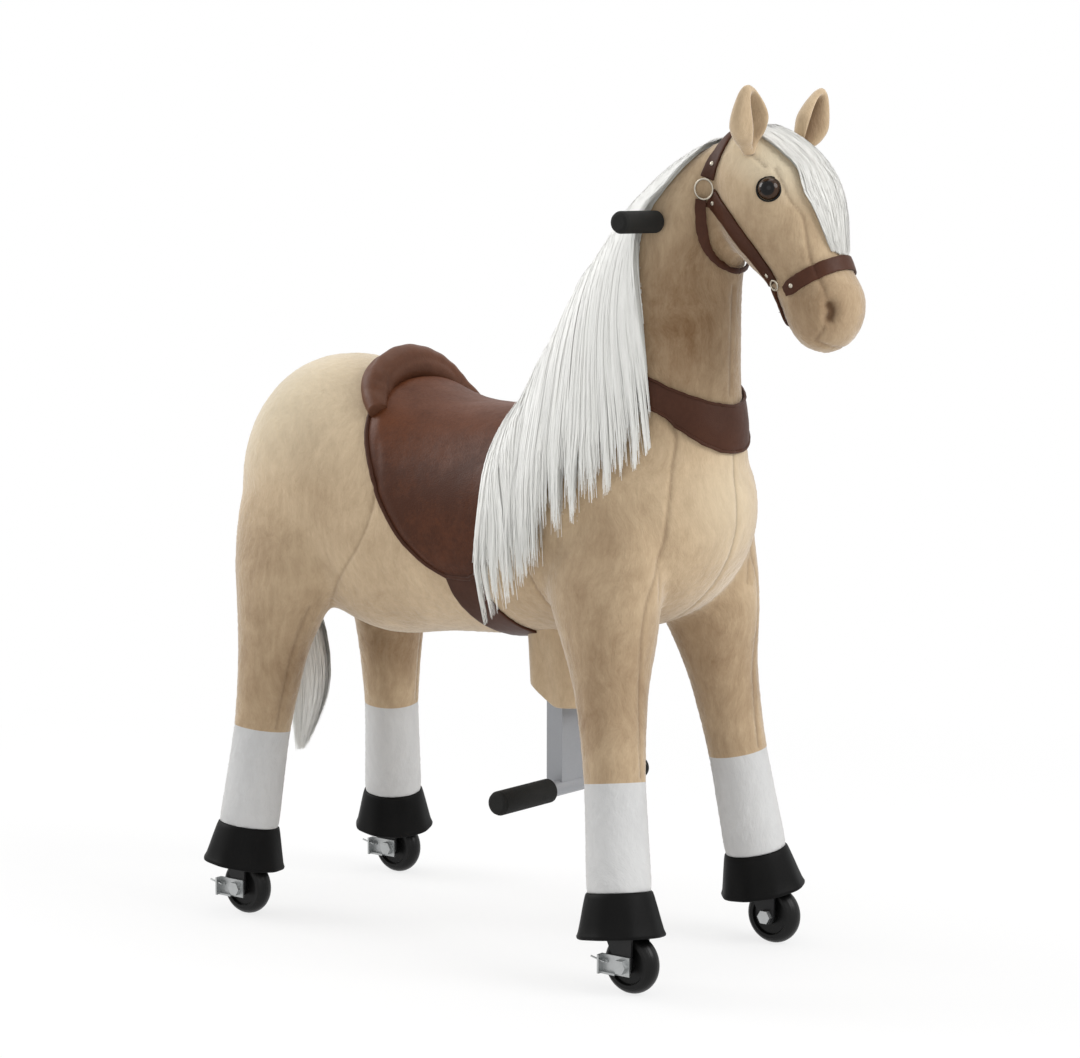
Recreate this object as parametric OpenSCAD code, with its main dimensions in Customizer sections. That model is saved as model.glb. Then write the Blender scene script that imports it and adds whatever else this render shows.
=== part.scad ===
// Ride-on plush horse on four wheels. Standing on the foot bar swings the legs together, and the
// handles turn neck, head and front wheels. Millimetres; X points forward, Y to the horse's left, Z up.

/* [Wheels and forks] */
// Outside diameter of a wheel
wheel_d = 60; // [56:1:64]
// Width of a wheel
wheel_w = 22; // [18:1:24]
// Depth of the hollow in each side of a wheel
wheel_dish = 4; // [2:0.5:6]
// Diameter of the hub boss of a wheel
wheel_boss_d = 18; // [15:1:22]
// Diameter of an axle bolt
axle_d = 8; // [6:0.5:9]
// Across-flats size of bolt heads and nuts
nut_af = 13; // [11:0.5:14]
// Height of bolt heads and nuts
nut_h = 5.5; // [4:0.5:7]
// Free space between wheel and fork arm
wheel_side_gap = 1.5; // [1:0.1:2.5]
// Thickness of fork arms and crown
fork_t = 3; // [2:0.5:4]
// Radius at the lower end of a fork arm
fork_foot_r = 9; // [8:0.5:11]
// Free space between wheel and fork crown
crown_gap = 4; // [3:0.5:6]
// How far a front axle lies ahead of its leg line
front_lead = 14; // [8:1:16]
// How far a rear axle lies ahead of its leg line
rear_lead = 6; // [0:1:12]
// Thickness of a stop plate
stop_t = 2; // [1.5:0.5:3]
// Length of a stop plate behind its axle
stop_l = 25; // [20:1:28]
// Height of a stop plate
stop_h = 19; // [17:1:22]
// Wire diameter of a stop spring
spring_d = 1.8; // [1.4:0.2:2.4]

/* [Hooves and socks] */
// How far a wheel reaches up into its hoof
hoof_reach = 7; // [4:1:10]
// Height of a hoof
hoof_h = 45; // [40:1:52]
// Diameter of a hoof at the top
hoof_top_d = 67; // [64:1:72]
// Diameter of a hoof at the rim
hoof_rim_d = 88; // [84:1:94]
// Wall of a hoof
hoof_wall = 4; // [3:0.5:5]
// Height of a sock
sock_h = 106; // [90:1:120]
// Diameter of a sock at the top
sock_top_d = 65; // [62:1:68]
// Diameter of a sock at the hoof
sock_low_d = 69; // [66:1:72]

/* [Legs] */
// Height of the hinge line above the hoof rims
leg_drop = 387; // [370:1:405]
// Distance of the leg lines from the middle at hinge height
leg_y = 78; // [74:1:80]
// Front leg line at hinge height, ahead of the middle
front_leg_x = 186.5; // [182:0.5:190]
// Rear leg line at hinge height, behind the middle
rear_leg_x = 233; // [228:0.5:238]
// Forward lean of the front legs in degrees
front_rake = 8.2; // [7:0.1:9]
// Backward lean of the rear legs in degrees
rear_rake = 4.9; // [4:0.1:6]
// Outward lean of the legs in degrees
leg_splay = 6.9; // [6:0.1:7.5]
// Front hinge pin, ahead of the middle
front_hinge_x = 180; // [176:1:184]
// Rear hinge pin, behind the middle
rear_hinge_x = 225; // [221:1:229]
// Swing of the legs in degrees
swing = 7; // [5:0.5:7.5]
// Radius of the round joint between leg and body around the hinge
joint_r = 120; // [116:1:124]
// Outside diameter of a leg tube
tube_d = 25; // [24:0.5:26]
// Bore of a leg tube
tube_bore = 20; // [19:0.5:21]
// Diameter of a fork stem
stem_d = 16; // [14:0.5:16.5]
// Diameter of a hinge pin
pin_d = 16; // [12:0.5:18]
// Diameter of a hinge hub
hub_d = 32; // [28:1:34]
// Drop of the cross tube below the hinge
cross_drop = 45; // [42:1:50]
// Diameter of the cross tube
cross_d = 26; // [22:1:28]
// Wall of the sockets that hold the leg tubes
socket_wall = 4; // [3:0.5:5]

/* [Chassis] */
// Inner face of each rail from the middle
rail_y = 28; // [27.5:0.5:30]
// Width of a rail
rail_w = 8; // [6:0.5:9]
// Height of a rail
rail_h = 30; // [26:1:32]
// Underside of the rails above the hinge
rail_low = 58; // [55:1:60]
// Thickness of the seat board
board_t = 10; // [8:1:12]
// Length of the seat board
board_l = 190; // [160:5:200]
// Width of the seat board
board_w = 104; // [90:1:110]
// Diameter of a seat screw
screw_d = 6; // [5:0.5:6]
// Outside diameter of the head tube
head_tube_d = 34; // [32:0.5:36]
// Diameter of the steering column
column_d = 24; // [20:0.5:25]

/* [Pedal] */
// Middle of the pedal post, ahead of the middle
post_x = 80; // [76:1:84]
// Depth of the pedal post along the horse
post_d = 20; // [16:1:22]
// Width of the pedal post across the horse
post_w = 44; // [38:1:46]
// Wall of the pedal post
post_wall = 2; // [1.5:0.5:3]
// Foot bar below the hinge line
foot_drop = 275; // [260:1:285]
// Foot bar ahead of the middle of the post
foot_lead = 5; // [2:0.5:8]
// Diameter of the foot bar
foot_bar_d = 16; // [14:0.5:18]
// Outside diameter of the foot grips
foot_grip_d = 25; // [23:0.5:28]
// Length of a foot grip
foot_grip_l = 86; // [80:1:95]
// Inner end of a foot grip from the middle
foot_grip_y = 38; // [30:1:46]
// Downward travel of the foot bar
stroke = 22; // [18:0.5:24]
// Free space around the pedal post in its guide
post_gap = 0.4; // [0.3:0.05:0.6]
// Diameter of the crank pins
crank_pin_d = 10; // [8:0.5:11]
// Free space around a crank pin in slot and rod
crank_gap = 0.9; // [0.8:0.05:1.1]

/* [Steering] */
// Handlebar above the hinge line
handle_h = 310; // [300:1:320]
// Steering axis at handlebar height, ahead of the middle
handle_x = 245; // [242:1:248]
// Handlebar behind the steering axis
bar_back = 15; // [12:1:18]
// Forward lean of the steering column in degrees
lean = 11; // [10.5:0.1:11.5]
// Outer end of a handle grip from the middle
handle_reach = 118; // [110:1:136]
// Inner end of a handle grip from the middle
handle_grip_in = 56; // [56:1:60]
// Outside diameter of the handle grips
handle_grip_d = 22; // [21:0.5:25]
// Diameter of the handlebar
handlebar_d = 16; // [14:0.5:17]
// Largest steering angle in degrees
steer = 15; // [10:1:15]
// Length of the steering arms
arm_r = 32; // [30:0.5:33]
// Diameter of the steering studs
stud_d = 8; // [7:0.5:9]
// Free space around a steering stud
stud_gap = 1.1; // [1:0.05:1.3]

/* [Plush and leather] */
// Wall of the stuffed body
plush_wall = 16; // [12:1:18]
// Free space between soft pieces and their neighbours
soft_gap = 0.5; // [0.4:0.05:0.7]
// Height of the neck seam above the hinge line
seam_h = 95; // [90:1:98]
// Radius of the body's hollow that the neck turns in
seam_r = 118; // [117:0.5:120]
// Thickness of the saddle
saddle_t = 13; // [9:0.5:15]
// Radius of the cantle roll
cantle_r = 21; // [17:0.5:24]
// Thickness of straps
strap_t = 3; // [2:0.5:4]
// Width of the girth
girth_w = 44; // [36:1:50]
// Width of the halter straps
halter_w = 15; // [12:0.5:17]
// Thickness of the mane
mane_t = 12; // [8:1:14]
// Thickness of the forelock
forelock_t = 6; // [5:0.5:8]
// Diameter of an eye
eye_d = 24; // [22:0.5:27]

/* [Hidden] */
$fn = 48;
fit = 0.06;
axle_z = wheel_d / 2;
hoof_z = wheel_d - hoof_reach;
hinge_z = hoof_z + leg_drop;
front_hinge = [front_hinge_x, 0, 0];
rear_hinge = [-rear_hinge_x, 0, 0];
lean_v = [sin(lean), 0, cos(lean)];
rail_top = rail_low + rail_h;
ring_n = 24;

// Smooth curve through rows of numbers
function curve(a, b, c, d, t) =
    0.5 * (2 * b + (c - a) * t + (2 * a - 5 * b + 4 * c - d) * t * t + (3 * b - a - 3 * c + d) * t * t * t);
function smooth(rows, n) = let (m = len(rows) - 1) concat(
    [for (i = [0 : m - 1]) for (k = [0 : n - 1])
        curve(rows[max(i - 1, 0)], rows[i], rows[i + 1], rows[min(i + 2, m)], k / n)],
    [rows[m]]);

// Closed skin through a list of rings with equal numbers of points
module loft(rings) {
    n = len(rings[0]);
    m = len(rings);
    polyhedron(
        points = [for (r = rings) for (p = r) p],
        faces = concat(
            [[for (i = [0 : n - 1]) n - 1 - i]],
            [[for (i = [0 : n - 1]) (m - 1) * n + i]],
            [for (j = [0 : m - 2]) for (i = [0 : n - 1])
                [j * n + i, j * n + (i + 1) % n, (j + 1) * n + i]],
            [for (j = [0 : m - 2]) for (i = [0 : n - 1])
                [j * n + (i + 1) % n, (j + 1) * n + (i + 1) % n, (j + 1) * n + i]]),
        convexity = 6);
}

// Sewn piece: one closed surface
module sewn() { $fn = 24; resize([0, 0, 0]) children(); }

module both() { children(); mirror([0, 1, 0]) children(); }
module bolt(d, l) { rotate([-90, 0, 0]) cylinder(d = d, h = l, center = true); }
module hexagon(af, h) { rotate([-90, 0, 0]) cylinder(d = af / cos(30), h = h, $fn = 6); }
module on_body() { translate([-origin_x, 0, hinge_z]) children(); }
module swung(hinge, angle) { translate(hinge) rotate([0, angle, 0]) translate(-hinge) children(); }

// Body, as rows of [x, top, bottom, half width] from rump to chest, heights from the hinge line
torso_base = [
    [-319, 18, -24, 22], [-313, 66, -52, 62], [-293, 122, -78, 94], [-252, 158, -98, 116],
    [-200, 165, -117, 121], [-138, 144, -136, 117], [-60, 116, -127, 113], [20, 111, -122, 113],
    [100, 121, -114, 117], [172, 126, -104, 117], [220, 118, -88, 104], [258, 100, -58, 80],
    [282, 70, -22, 50], [291, 40, 8, 20]
];
torso_rows = smooth(torso_base, 2);
torso_mid = (torso_rows[0][0] + torso_rows[len(torso_rows) - 1][0]) / 2;
torso_half = (torso_rows[len(torso_rows) - 1][0] - torso_rows[0][0]) / 2;
function rounded(v, q) = sign(v) * pow(abs(v), q);
function torso_rings(rows, g, n) = [for (r = rows) [for (i = [0 : n - 1])
    let (t = -360 * i / n)
    [torso_mid + (r[0] - torso_mid) * (1 + g / torso_half),
     (r[3] + g) * rounded(cos(t), 0.9),
     (r[1] + r[2]) / 2 + ((r[1] - r[2]) / 2 + g) * rounded(sin(t), 0.9)]]];

// Neck, as rows of [height, middle, half length, half width]
neck_rows = smooth([
    [50, 186, 104, 94], [100, 190, 97, 82], [145, 193, 90, 74], [195, 200, 84, 67], [250, 209, 77, 61],
    [300, 224, 72, 57], [338, 250, 60, 52], [366, 272, 44, 45], [386, 288, 24, 28]
], 2);
function neck_rings(g) = [for (r = neck_rows) [for (i = [0 : ring_n - 1])
    let (t = -360 * i / ring_n) [r[1] + (r[2] + g) * cos(t), (r[3] + g) * sin(t), r[0]]]];

// Head, as rows of [distance down the face, forward shift, half depth, half width]
face_lean = 26.2;
poll = [304, 0, 398];
face_down = [sin(face_lean), 0, -cos(face_lean)];
face_out = [cos(face_lean), 0, sin(face_lean)];
head_rows = smooth([
    [-3, -5, 16, 25], [12, -7, 34, 43], [40, -8, 54, 52], [75, -5, 62, 57], [110, -2, 57, 50.5],
    [140, 0, 45.5, 42], [165, 1.5, 40.5, 39], [192, 3, 42, 40], [214, 0.5, 34.5, 34.5], [228, -1, 20, 20],
    [233, -1, 6, 7]
], 2);
function head_rings(g) = [for (r = head_rows) [for (i = [0 : ring_n - 1])
    let (t = 360 * i / ring_n)
    poll + r[0] * face_down + (r[1] + (r[2] + g) * cos(t)) * face_out + [0, (r[3] + g) * sin(t), 0]]];

// Tail, as rows of [x, height, half thickness, half width]
tail_rows = smooth([
    [-306, 98, 9, 12], [-326, 64, 14, 22], [-339, 10, 15, 28], [-334, -50, 15, 31], [-312, -100, 15, 32],
    [-291, -145, 15, 32], [-282, -190, 15, 31], [-283, -225, 12, 27], [-289, -256, 8, 17], [-296, -284, 3, 6]
], 2);
tail_rings = [for (r = tail_rows) [for (i = [0 : 15])
    let (t = 360 * i / 16) [r[0] + r[2] * cos(t), r[3] * sin(t), r[1]]]];

// Middle of the whole length
front_x = max([for (r = head_rings(0)) for (p = r) p[0]]);
back_x = min([for (r = tail_rings) for (p = r) p[0]]);
origin_x = (front_x + back_x) / 2;

module torso_form(g) { loft(torso_rings(torso_rows, g, ring_n)); }
module neck_form(g) { loft(neck_rings(g)); }
module head_form(g) { loft(head_rings(g)); }

// Leg frame: its axis is the leg line, its origin lies at hinge height
module front_leg(side) {
    translate([front_leg_x, side * leg_y, 0]) rotate([side * leg_splay, -front_rake, 0]) children();
}
module rear_leg(side) {
    translate([-rear_leg_x, side * leg_y, 0]) rotate([side * leg_splay, rear_rake, 0]) children();
}
front_hoof = leg_drop / (cos(leg_splay) * cos(front_rake));
rear_hoof = leg_drop / (cos(leg_splay) * cos(rear_rake));
front_line = [front_leg_x + leg_drop * tan(front_rake), leg_drop * tan(leg_splay) / cos(front_rake) + leg_y];
rear_line = [-rear_leg_x - leg_drop * tan(rear_rake), leg_drop * tan(leg_splay) / cos(rear_rake) + leg_y];
front_axle = [front_line[0] + front_lead, front_line[1], axle_z - hinge_z];
rear_axle = [rear_line[0] + rear_lead, rear_line[1], axle_z - hinge_z];

// Stuffed leg, as rows of [distance down the leg, forward shift, half depth, half width]
function leg_rings(rows, g, n) = [for (r = rows) [for (i = [0 : n - 1])
    let (t = 360 * i / n) [r[1] + (r[2] + g) * cos(t), (r[3] + g) * sin(t), -r[0]]]];
front_rows = [[-50, -8, 66, 30], [0, -6, 72, 40], [60, -3, 64, 45], [108, 0, 51, 43], [150, 0, 40, 38],
    [195, 0, 35, 34.5], [front_hoof - hoof_h - sock_h - soft_gap, 0, sock_top_d / 2, sock_top_d / 2]];
rear_rows = [[-60, 6, 70, 30], [0, 8, 78, 42], [60, 6, 70, 47], [108, 3, 54, 45], [150, 0, 42, 39],
    [195, 0, 36, 35], [rear_hoof - hoof_h - sock_h - soft_gap, 0, sock_top_d / 2, sock_top_d / 2]];
module front_leg_form(side, g) { front_leg(side) loft(leg_rings(smooth(front_rows, 2), g, 16)); }
module rear_leg_form(side, g) { rear_leg(side) loft(leg_rings(smooth(rear_rows, 2), g, 16)); }
function upper(rows) = [for (i = [2 : 4]) rows[i]];
module joint_round(hinge, r) {
    translate(hinge) rotate([90, 0, 0]) cylinder(r = r, h = 400, center = true, $fn = 64);
}

// Chassis
module steer_line() { translate([handle_x, 0, handle_h]) rotate([0, lean, 0]) children(); }
seam_along = (seam_h - handle_h) / cos(lean);
head_tube_low = 44;
head_tube_high = 102;
column_low = 28;
function along(h) = (h - handle_h) / cos(lean);
function line_x(h) = handle_x + (h - handle_h) * tan(lean);
rack_z = 2;
rack_t = 4;
rack_x = line_x(rack_z) + arm_r / cos(lean);
rack_half = 12;
fork_top = -12;
fork_arm_t = 5;
stud_h = (rack_z + rack_t / 2 - arm_r * sin(front_rake)) / (cos(leg_splay) * cos(front_rake));
fork_stud = [front_leg_x + arm_r * cos(front_rake) - stud_h * cos(leg_splay) * sin(front_rake),
    leg_y - stud_h * sin(leg_splay)];
rack_l = 2 * fork_stud[1] + 2 * stud_d + 2;
rack_way = arm_r * sin(steer);
rack_back = min(rack_x, fork_stud[0]) - rack_half;
rack_front = max(rack_x, fork_stud[0]) + rack_half;
guide_low = -92;
guide_high = -8;
guide_wall = rail_y - post_w / 2 - post_gap;

module hinge_plate(x0, x1, hx) {
    difference() {
        translate([x0, rail_y, -24]) cube([x1 - x0, 6, rail_low + 24 + rail_h / 2]);
        translate([hx, rail_y, 0]) bolt(pin_d + 2 * fit, 40);
    }
}
module chassis_frame() color("dimgray") on_body() difference() {
    union() {
        both() {
            translate([-rear_hinge_x - 24, rail_y, rail_low])
                cube([rear_hinge_x + 24 + line_x(rail_low + rail_h / 2), rail_w, rail_h]);
            hinge_plate(-rear_hinge_x - 24, -rear_hinge_x + 24, -rear_hinge_x);
            hinge_plate(front_hinge_x - 24, rack_front + 8, front_hinge_x);
            translate([post_x - post_d / 2, rail_y - guide_wall, guide_low])
                cube([post_d, guide_wall, rail_top - guide_low]);
        }
        translate([post_x - post_d / 2 - 6, -rail_y, guide_low])
            cube([post_d + 12, 2 * rail_y, guide_high - guide_low]);
        translate([-rear_hinge_x - 24, -rail_y, rail_low]) cube([10, 2 * rail_y, rail_h]);
        translate([line_x(rail_low) - 8, -rail_y, rail_low]) cube([16, 2 * rail_y, rail_h]);
        steer_line() translate([0, 0, along(head_tube_low)])
            cylinder(d = head_tube_d, h = along(head_tube_high) - along(head_tube_low));
    }
    steer_line() translate([0, 0, along(0)]) cylinder(d = column_d + 2 * fit, h = 200);
    translate([post_x, 0, guide_low + 30])
        cube([post_d + 2 * post_gap, post_w + 2 * post_gap, 260], center = true);
    translate([rack_back - 0.4, -60, rack_z - 0.4]) cube([rack_front - rack_back + 0.8, 120, rack_t + 0.8]);
    for (x = screw_x) both() translate([x, rail_y + rail_w / 2, rail_top - 24]) cylinder(d = screw_d, h = 40);
}

module hinge_pins() color("silver") on_body() for (h = [front_hinge, rear_hinge]) translate(h) {
    bolt(pin_d, 2 * rail_y + 12);
    both() translate([0, rail_y + 6, 0]) hexagon(pin_d + 6, 7);
}

board_x = -35;
screw_x = [board_x - board_l / 2 + 18, board_x + board_l / 2 - 18];
module board_form(g) {
    translate([board_x - board_l / 2 - g, -board_w / 2 - g, rail_top])
        cube([board_l + 2 * g, board_w + 2 * g, board_t + g]);
}
module seat_board() color("burlywood") on_body() difference() {
    board_form(0);
    for (x = screw_x) both() translate([x, rail_y + rail_w / 2, rail_top]) {
        translate([0, 0, -1]) cylinder(d = screw_d + 0.4, h = board_t + 2);
        translate([0, 0, board_t - 4]) cylinder(d = 2 * screw_d + 0.4, h = 5);
    }
}
module seat_screws() color("silver") on_body()
    for (x = screw_x) both() translate([x, rail_y + rail_w / 2, rail_top]) {
        translate([0, 0, -22]) cylinder(d = screw_d - 2 * fit, h = 22 + board_t - 4);
        translate([0, 0, board_t - 4]) cylinder(d = 2 * screw_d, h = 3.5);
    }

// Stuffed body with openings for legs, pedal and neck
module leg_path(side, front) {
    hull() for (k = [0, 1]) {
        if (front) swung(front_hinge, swing * k) front_leg(side)
            translate([0, 0, -200]) cylinder(d = tube_d + 2 * socket_wall + 6, h = 205, $fn = 10);
        else swung(rear_hinge, -swing * k) rear_leg(side)
            translate([0, 0, -200]) cylinder(d = tube_d + 2 * socket_wall + 6, h = 205, $fn = 10);
    }
}
module torso() color("tan") on_body() sewn() difference() {
    union() {
        torso_form(0);
        intersection() {
            neck_form(0);
            steer_line() translate([0, 0, seam_along - 200]) cylinder(r = 200, h = 200);
        }
        for (s = [-1, 1]) {
            intersection() {
                front_leg(s) loft(leg_rings(front_rows, 0, 16));
                joint_round(front_hinge, joint_r);
            }
            intersection() {
                rear_leg(s) loft(leg_rings(rear_rows, 0, 16));
                joint_round(rear_hinge, joint_r);
            }
        }
    }
    loft(torso_rings([for (i = [1 : len(torso_base) - 2]) torso_base[i]], -plush_wall, 16));
    steer_line() translate([0, 0, seam_along]) cylinder(r = seam_r, h = 200);
    steer_line() translate([0, 0, along(0)]) cylinder(d = head_tube_d + 14, h = 200);
    board_form(soft_gap);
    translate([post_x, 0, -110]) cube([post_d + 30, post_w + 16, 120], center = true);
    for (s = [-1, 1]) {
        leg_path(s, true);
        leg_path(s, false);
        difference() {
            hull() for (k = [0, 1]) swung(front_hinge, swing * k)
                front_leg(s) loft(leg_rings(upper(front_rows), 3, 10));
            joint_round(front_hinge, joint_r);
        }
        difference() {
            hull() for (k = [0, 1]) swung(rear_hinge, -swing * k)
                rear_leg(s) loft(leg_rings(upper(rear_rows), 3, 10));
            joint_round(rear_hinge, joint_r);
        }
    }
    translate(front_hinge) bolt(60, 190, $fn = 24);
    translate(rear_hinge) bolt(60, 190, $fn = 24);
    cross_path(front_hinge, front_cross, swing);
    cross_path(rear_hinge, rear_cross, -swing);
    translate([front_leg_x - stem_d, -rack_l / 2 - rack_way - 2, fork_top - 8])
        cube([rack_front + 4 - front_leg_x + stem_d, rack_l + 2 * rack_way + 4, 42]);
}
module cross_path(hinge, c, angle) {
    hull() for (k = [0, 1]) swung(hinge, angle * k)
        translate([c[0], 0, c[1]]) bolt(cross_d + 4, 2 * leg_y, $fn = 12);
}

// Saddle, girth and cantle follow the body
saddle_edge = smooth([
    [-116, 190], [-110, 150], [-98, 110], [-88, 60], [-74, 12], [-40, -28], [20, -46], [62, -30], [84, 10],
    [90, 60], [90, 120], [88, 190]
], 3);
module saddle_block(g) {
    intersection() {
        torso_form(saddle_t + g);
        rotate([90, 0, 0]) linear_extrude(400, center = true) polygon(saddle_edge);
    }
}
module saddle_seat() color("saddlebrown") on_body() sewn() difference() {
    saddle_block(0);
    torso_form(soft_gap);
}
cantle_path = smooth([
    [-107, -85, 106, 0.5], [-123, -68, 123, 0.68], [-131, -54, 138, 0.84], [-135, -30, 150, 0.96],
    [-136, 0, 155, 1], [-135, 30, 150, 0.96], [-131, 54, 138, 0.84], [-123, 68, 123, 0.68],
    [-107, 85, 106, 0.5]
], 3);
function unit(v) = v / norm(v);
cantle_rings = [for (i = [0 : len(cantle_path) - 1])
    let (a = cantle_path[max(i - 1, 0)], b = cantle_path[min(i + 1, len(cantle_path) - 1)],
         c = cantle_path[i],
         way = unit([b[0] - a[0], b[1] - a[1], b[2] - a[2]]),
         side = unit(cross(way, [1, 0, 0])), rise = cross(way, side))
    [for (k = [0 : 15]) let (t = 360 * k / 16)
        [c[0], c[1], c[2]] + cantle_r * c[3] * (cos(t) * side - sin(t) * rise)]];
module saddle_cantle() color("saddlebrown") on_body() sewn() difference() {
    loft(cantle_rings);
    torso_form(soft_gap);
    saddle_block(soft_gap);
}
girth_x = 40;
module girth_strap() color("saddlebrown") on_body() sewn() difference() {
    intersection() {
        torso_form(strap_t + soft_gap);
        translate([girth_x - girth_w / 2, -200, -160]) cube([girth_w, 400, 160]);
    }
    torso_form(soft_gap);
    saddle_block(soft_gap);
    translate([post_x, 0, -110]) cube([post_d + 74, 104, 120], center = true);
}

module tail() color("whitesmoke") on_body() sewn() difference() {
    loft(tail_rings);
    torso_form(soft_gap);
}

sleeve_low = -178;
sleeve_high = -100;
sleeve_slant = 0.3;
sleeve_x = post_x + 6;
function sleeve_rings(g) = [for (k = [1, 0.5, 0]) [for (i = [0 : 23])
    let (t = 360 * i / 24, x = (32 + 5 * k + g) * rounded(cos(t), 0.6))
    [sleeve_x + x, (46 + 4 * k + g) * rounded(sin(t), 0.6),
     sleeve_low + (sleeve_high - sleeve_low) * k - sleeve_slant * x * (1 - k)]]];
module pedal_sleeve() color("tan") on_body() sewn() difference() {
    loft(sleeve_rings(0));
    translate([0, 0, 1]) loft(sleeve_rings(-7));
    translate([0, 0, -1]) loft(sleeve_rings(-7));
    torso_form(soft_gap);
}

// Loose lower part of the mane, lying on the right shoulder
fall_edge = smooth([
    [92, 92], [72, 50], [62, 0], [65, -45], [78, -80], [92, -82], [120, -44], [160, 4], [198, 42], [230, 72],
    [214, 82], [150, 90]
], 2);
module mane_fall() color("whitesmoke") on_body() sewn() difference() {
    intersection() {
        torso_form(mane_t + soft_gap);
        translate([0, -30, 0]) rotate([90, 0, 0]) linear_extrude(200) polygon(fall_edge);
    }
    torso_form(soft_gap);
    for (k = [0 : 1]) swung(front_hinge, swing * k) front_leg_form(-1, 1.5);
    steer_line() translate([0, 0, seam_along]) cylinder(r = 200, h = 200);
    steer_line() translate([0, 0, seam_along - 3]) cylinder(r = seam_r, h = 200);
    neck_form(soft_gap);
    saddle_block(soft_gap);
}

// Leg frames: hub on the hinge pin, cross tube, sockets for the leg tubes, crank with pin
front_cross = [front_leg_x + cross_drop * tan(front_rake), -cross_drop];
rear_cross = [-rear_leg_x - cross_drop * tan(rear_rake), -cross_drop];
crank_r = 68;
crank_a = 36;
front_crank_pin = [front_hinge_x - crank_r * sin(crank_a), crank_r * cos(crank_a)];
rear_crank_pin = [-rear_hinge_x + crank_r * sin(crank_a - swing / 2), -crank_r * cos(crank_a - swing / 2)];
cam_y = 3;
rod_y0 = 6;
rod_y1 = 12;
socket_l = 62;
hub_half = rail_y - 0.5;
module bar_between(a, b, wa, wb, y0, y1) {
    n = unit([a[1] - b[1], b[0] - a[0]]);
    translate([0, y1, 0]) rotate([90, 0, 0]) linear_extrude(y1 - y0)
        polygon([a + n * wa, b + n * wb, b - n * wb, a - n * wa]);
    for (e = [[a, wa], [b, wb]]) translate([e[0][0], (y0 + y1) / 2, e[0][1]]) bolt(2 * e[1], y1 - y0);
}
module yoke_body(h, c) {
    translate(h) bolt(hub_d, 2 * hub_half);
    translate([c[0], 0, c[1]]) bolt(cross_d, 2 * leg_y);
    bar_between([h[0], h[2]], c, hub_d / 2 - 3, cross_d / 2 - 1, -18, 18);
}
module front_yoke() color("dimgray") on_body() difference() {
    union() {
        yoke_body(front_hinge, front_cross);
        for (s = [-1, 1]) front_leg(s) translate([0, 0, -cross_drop - socket_l / 2])
            cylinder(d = tube_d + 2 * socket_wall, h = socket_l);
        bar_between([front_hinge_x, 0], front_crank_pin, 12, 9, -11, -5);
        translate([front_crank_pin[0], (rod_y1 + 2 - 11) / 2, front_crank_pin[1]])
            bolt(crank_pin_d, rod_y1 + 2 + 11);
    }
    translate(front_hinge) bolt(pin_d + 2 * fit, 200);
    for (s = [-1, 1]) front_leg(s) translate([0, 0, -120]) cylinder(d = tube_d + 0.1, h = 140);
}
module rear_yoke() color("dimgray") on_body() difference() {
    union() {
        yoke_body(rear_hinge, rear_cross);
        for (s = [-1, 1]) rear_leg(s) translate([0, 0, -cross_drop - socket_l / 2])
            cylinder(d = tube_d + 2 * socket_wall, h = socket_l);
        bar_between([-rear_hinge_x, 0], rear_crank_pin, 12, 9, 14, 20);
        translate([rear_crank_pin[0], (rod_y0 - 2 + 20) / 2, rear_crank_pin[1]])
            bolt(crank_pin_d, 20 - rod_y0 + 2);
    }
    translate(rear_hinge) bolt(pin_d + 2 * fit, 200);
    for (s = [-1, 1]) rear_leg(s) translate([0, 0, -120]) cylinder(d = tube_d + 0.1, h = 140);
}
tube_top = -cross_drop + socket_l / 2;
module leg_tube(hoof) {
    difference() {
        translate([0, 0, -hoof + hoof_h - hoof_wall - 3])
            cylinder(d = tube_d, h = tube_top + hoof - hoof_h + hoof_wall + 3);
        translate([0, 0, -hoof]) cylinder(d = tube_bore, h = hoof + 40);
    }
}
module front_leg_tubes() color("gray") on_body() for (s = [-1, 1]) front_leg(s) leg_tube(front_hoof);
module rear_leg_tubes() color("gray") on_body() for (s = [-1, 1]) rear_leg(s) leg_tube(rear_hoof);
module stem_bushes() color("ivory") on_body() for (s = [-1, 1]) front_leg(s)
    for (z = [-front_hoof + hoof_h - hoof_wall - 3, tube_top - 16]) translate([0, 0, z]) difference() {
        cylinder(d = tube_bore - 0.1, h = 16);
        translate([0, 0, -1]) cylinder(d = stem_d + 2 * fit, h = 18);
    }

module stuffed_leg_bore(hoof) {
    translate([0, 0, -hoof]) cylinder(d = tube_d + 2 * soft_gap, h = hoof + 60);
}
module front_stuffed(side) sewn() difference() {
    front_leg_form(side, 0);
    joint_round(front_hinge, joint_r + soft_gap);
    front_leg(side) stuffed_leg_bore(front_hoof);
}
module rear_stuffed(side) sewn() difference() {
    rear_leg_form(side, 0);
    joint_round(rear_hinge, joint_r + soft_gap);
    rear_leg(side) stuffed_leg_bore(rear_hoof);
}
module front_leg_right() color("tan") on_body() front_stuffed(-1);
module front_leg_left() color("tan") on_body() front_stuffed(1);
module rear_leg_right() color("tan") on_body() rear_stuffed(-1);
module rear_leg_left() color("tan") on_body() rear_stuffed(1);

module sock(hoof) {
    translate([0, 0, -hoof + hoof_h + 0.2]) rotate_extrude() polygon([
        [tube_d / 2 + soft_gap, 0], [sock_low_d / 2 - 3, 0], [sock_low_d / 2, 4],
        [sock_low_d / 2 - 1, sock_h * 0.4],
        [sock_top_d / 2, sock_h - 0.2], [tube_d / 2 + soft_gap, sock_h - 0.2]]);
}
module front_socks() color("white") on_body() for (s = [-1, 1]) front_leg(s) sock(front_hoof);
module rear_socks() color("white") on_body() for (s = [-1, 1]) rear_leg(s) sock(rear_hoof);

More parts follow.
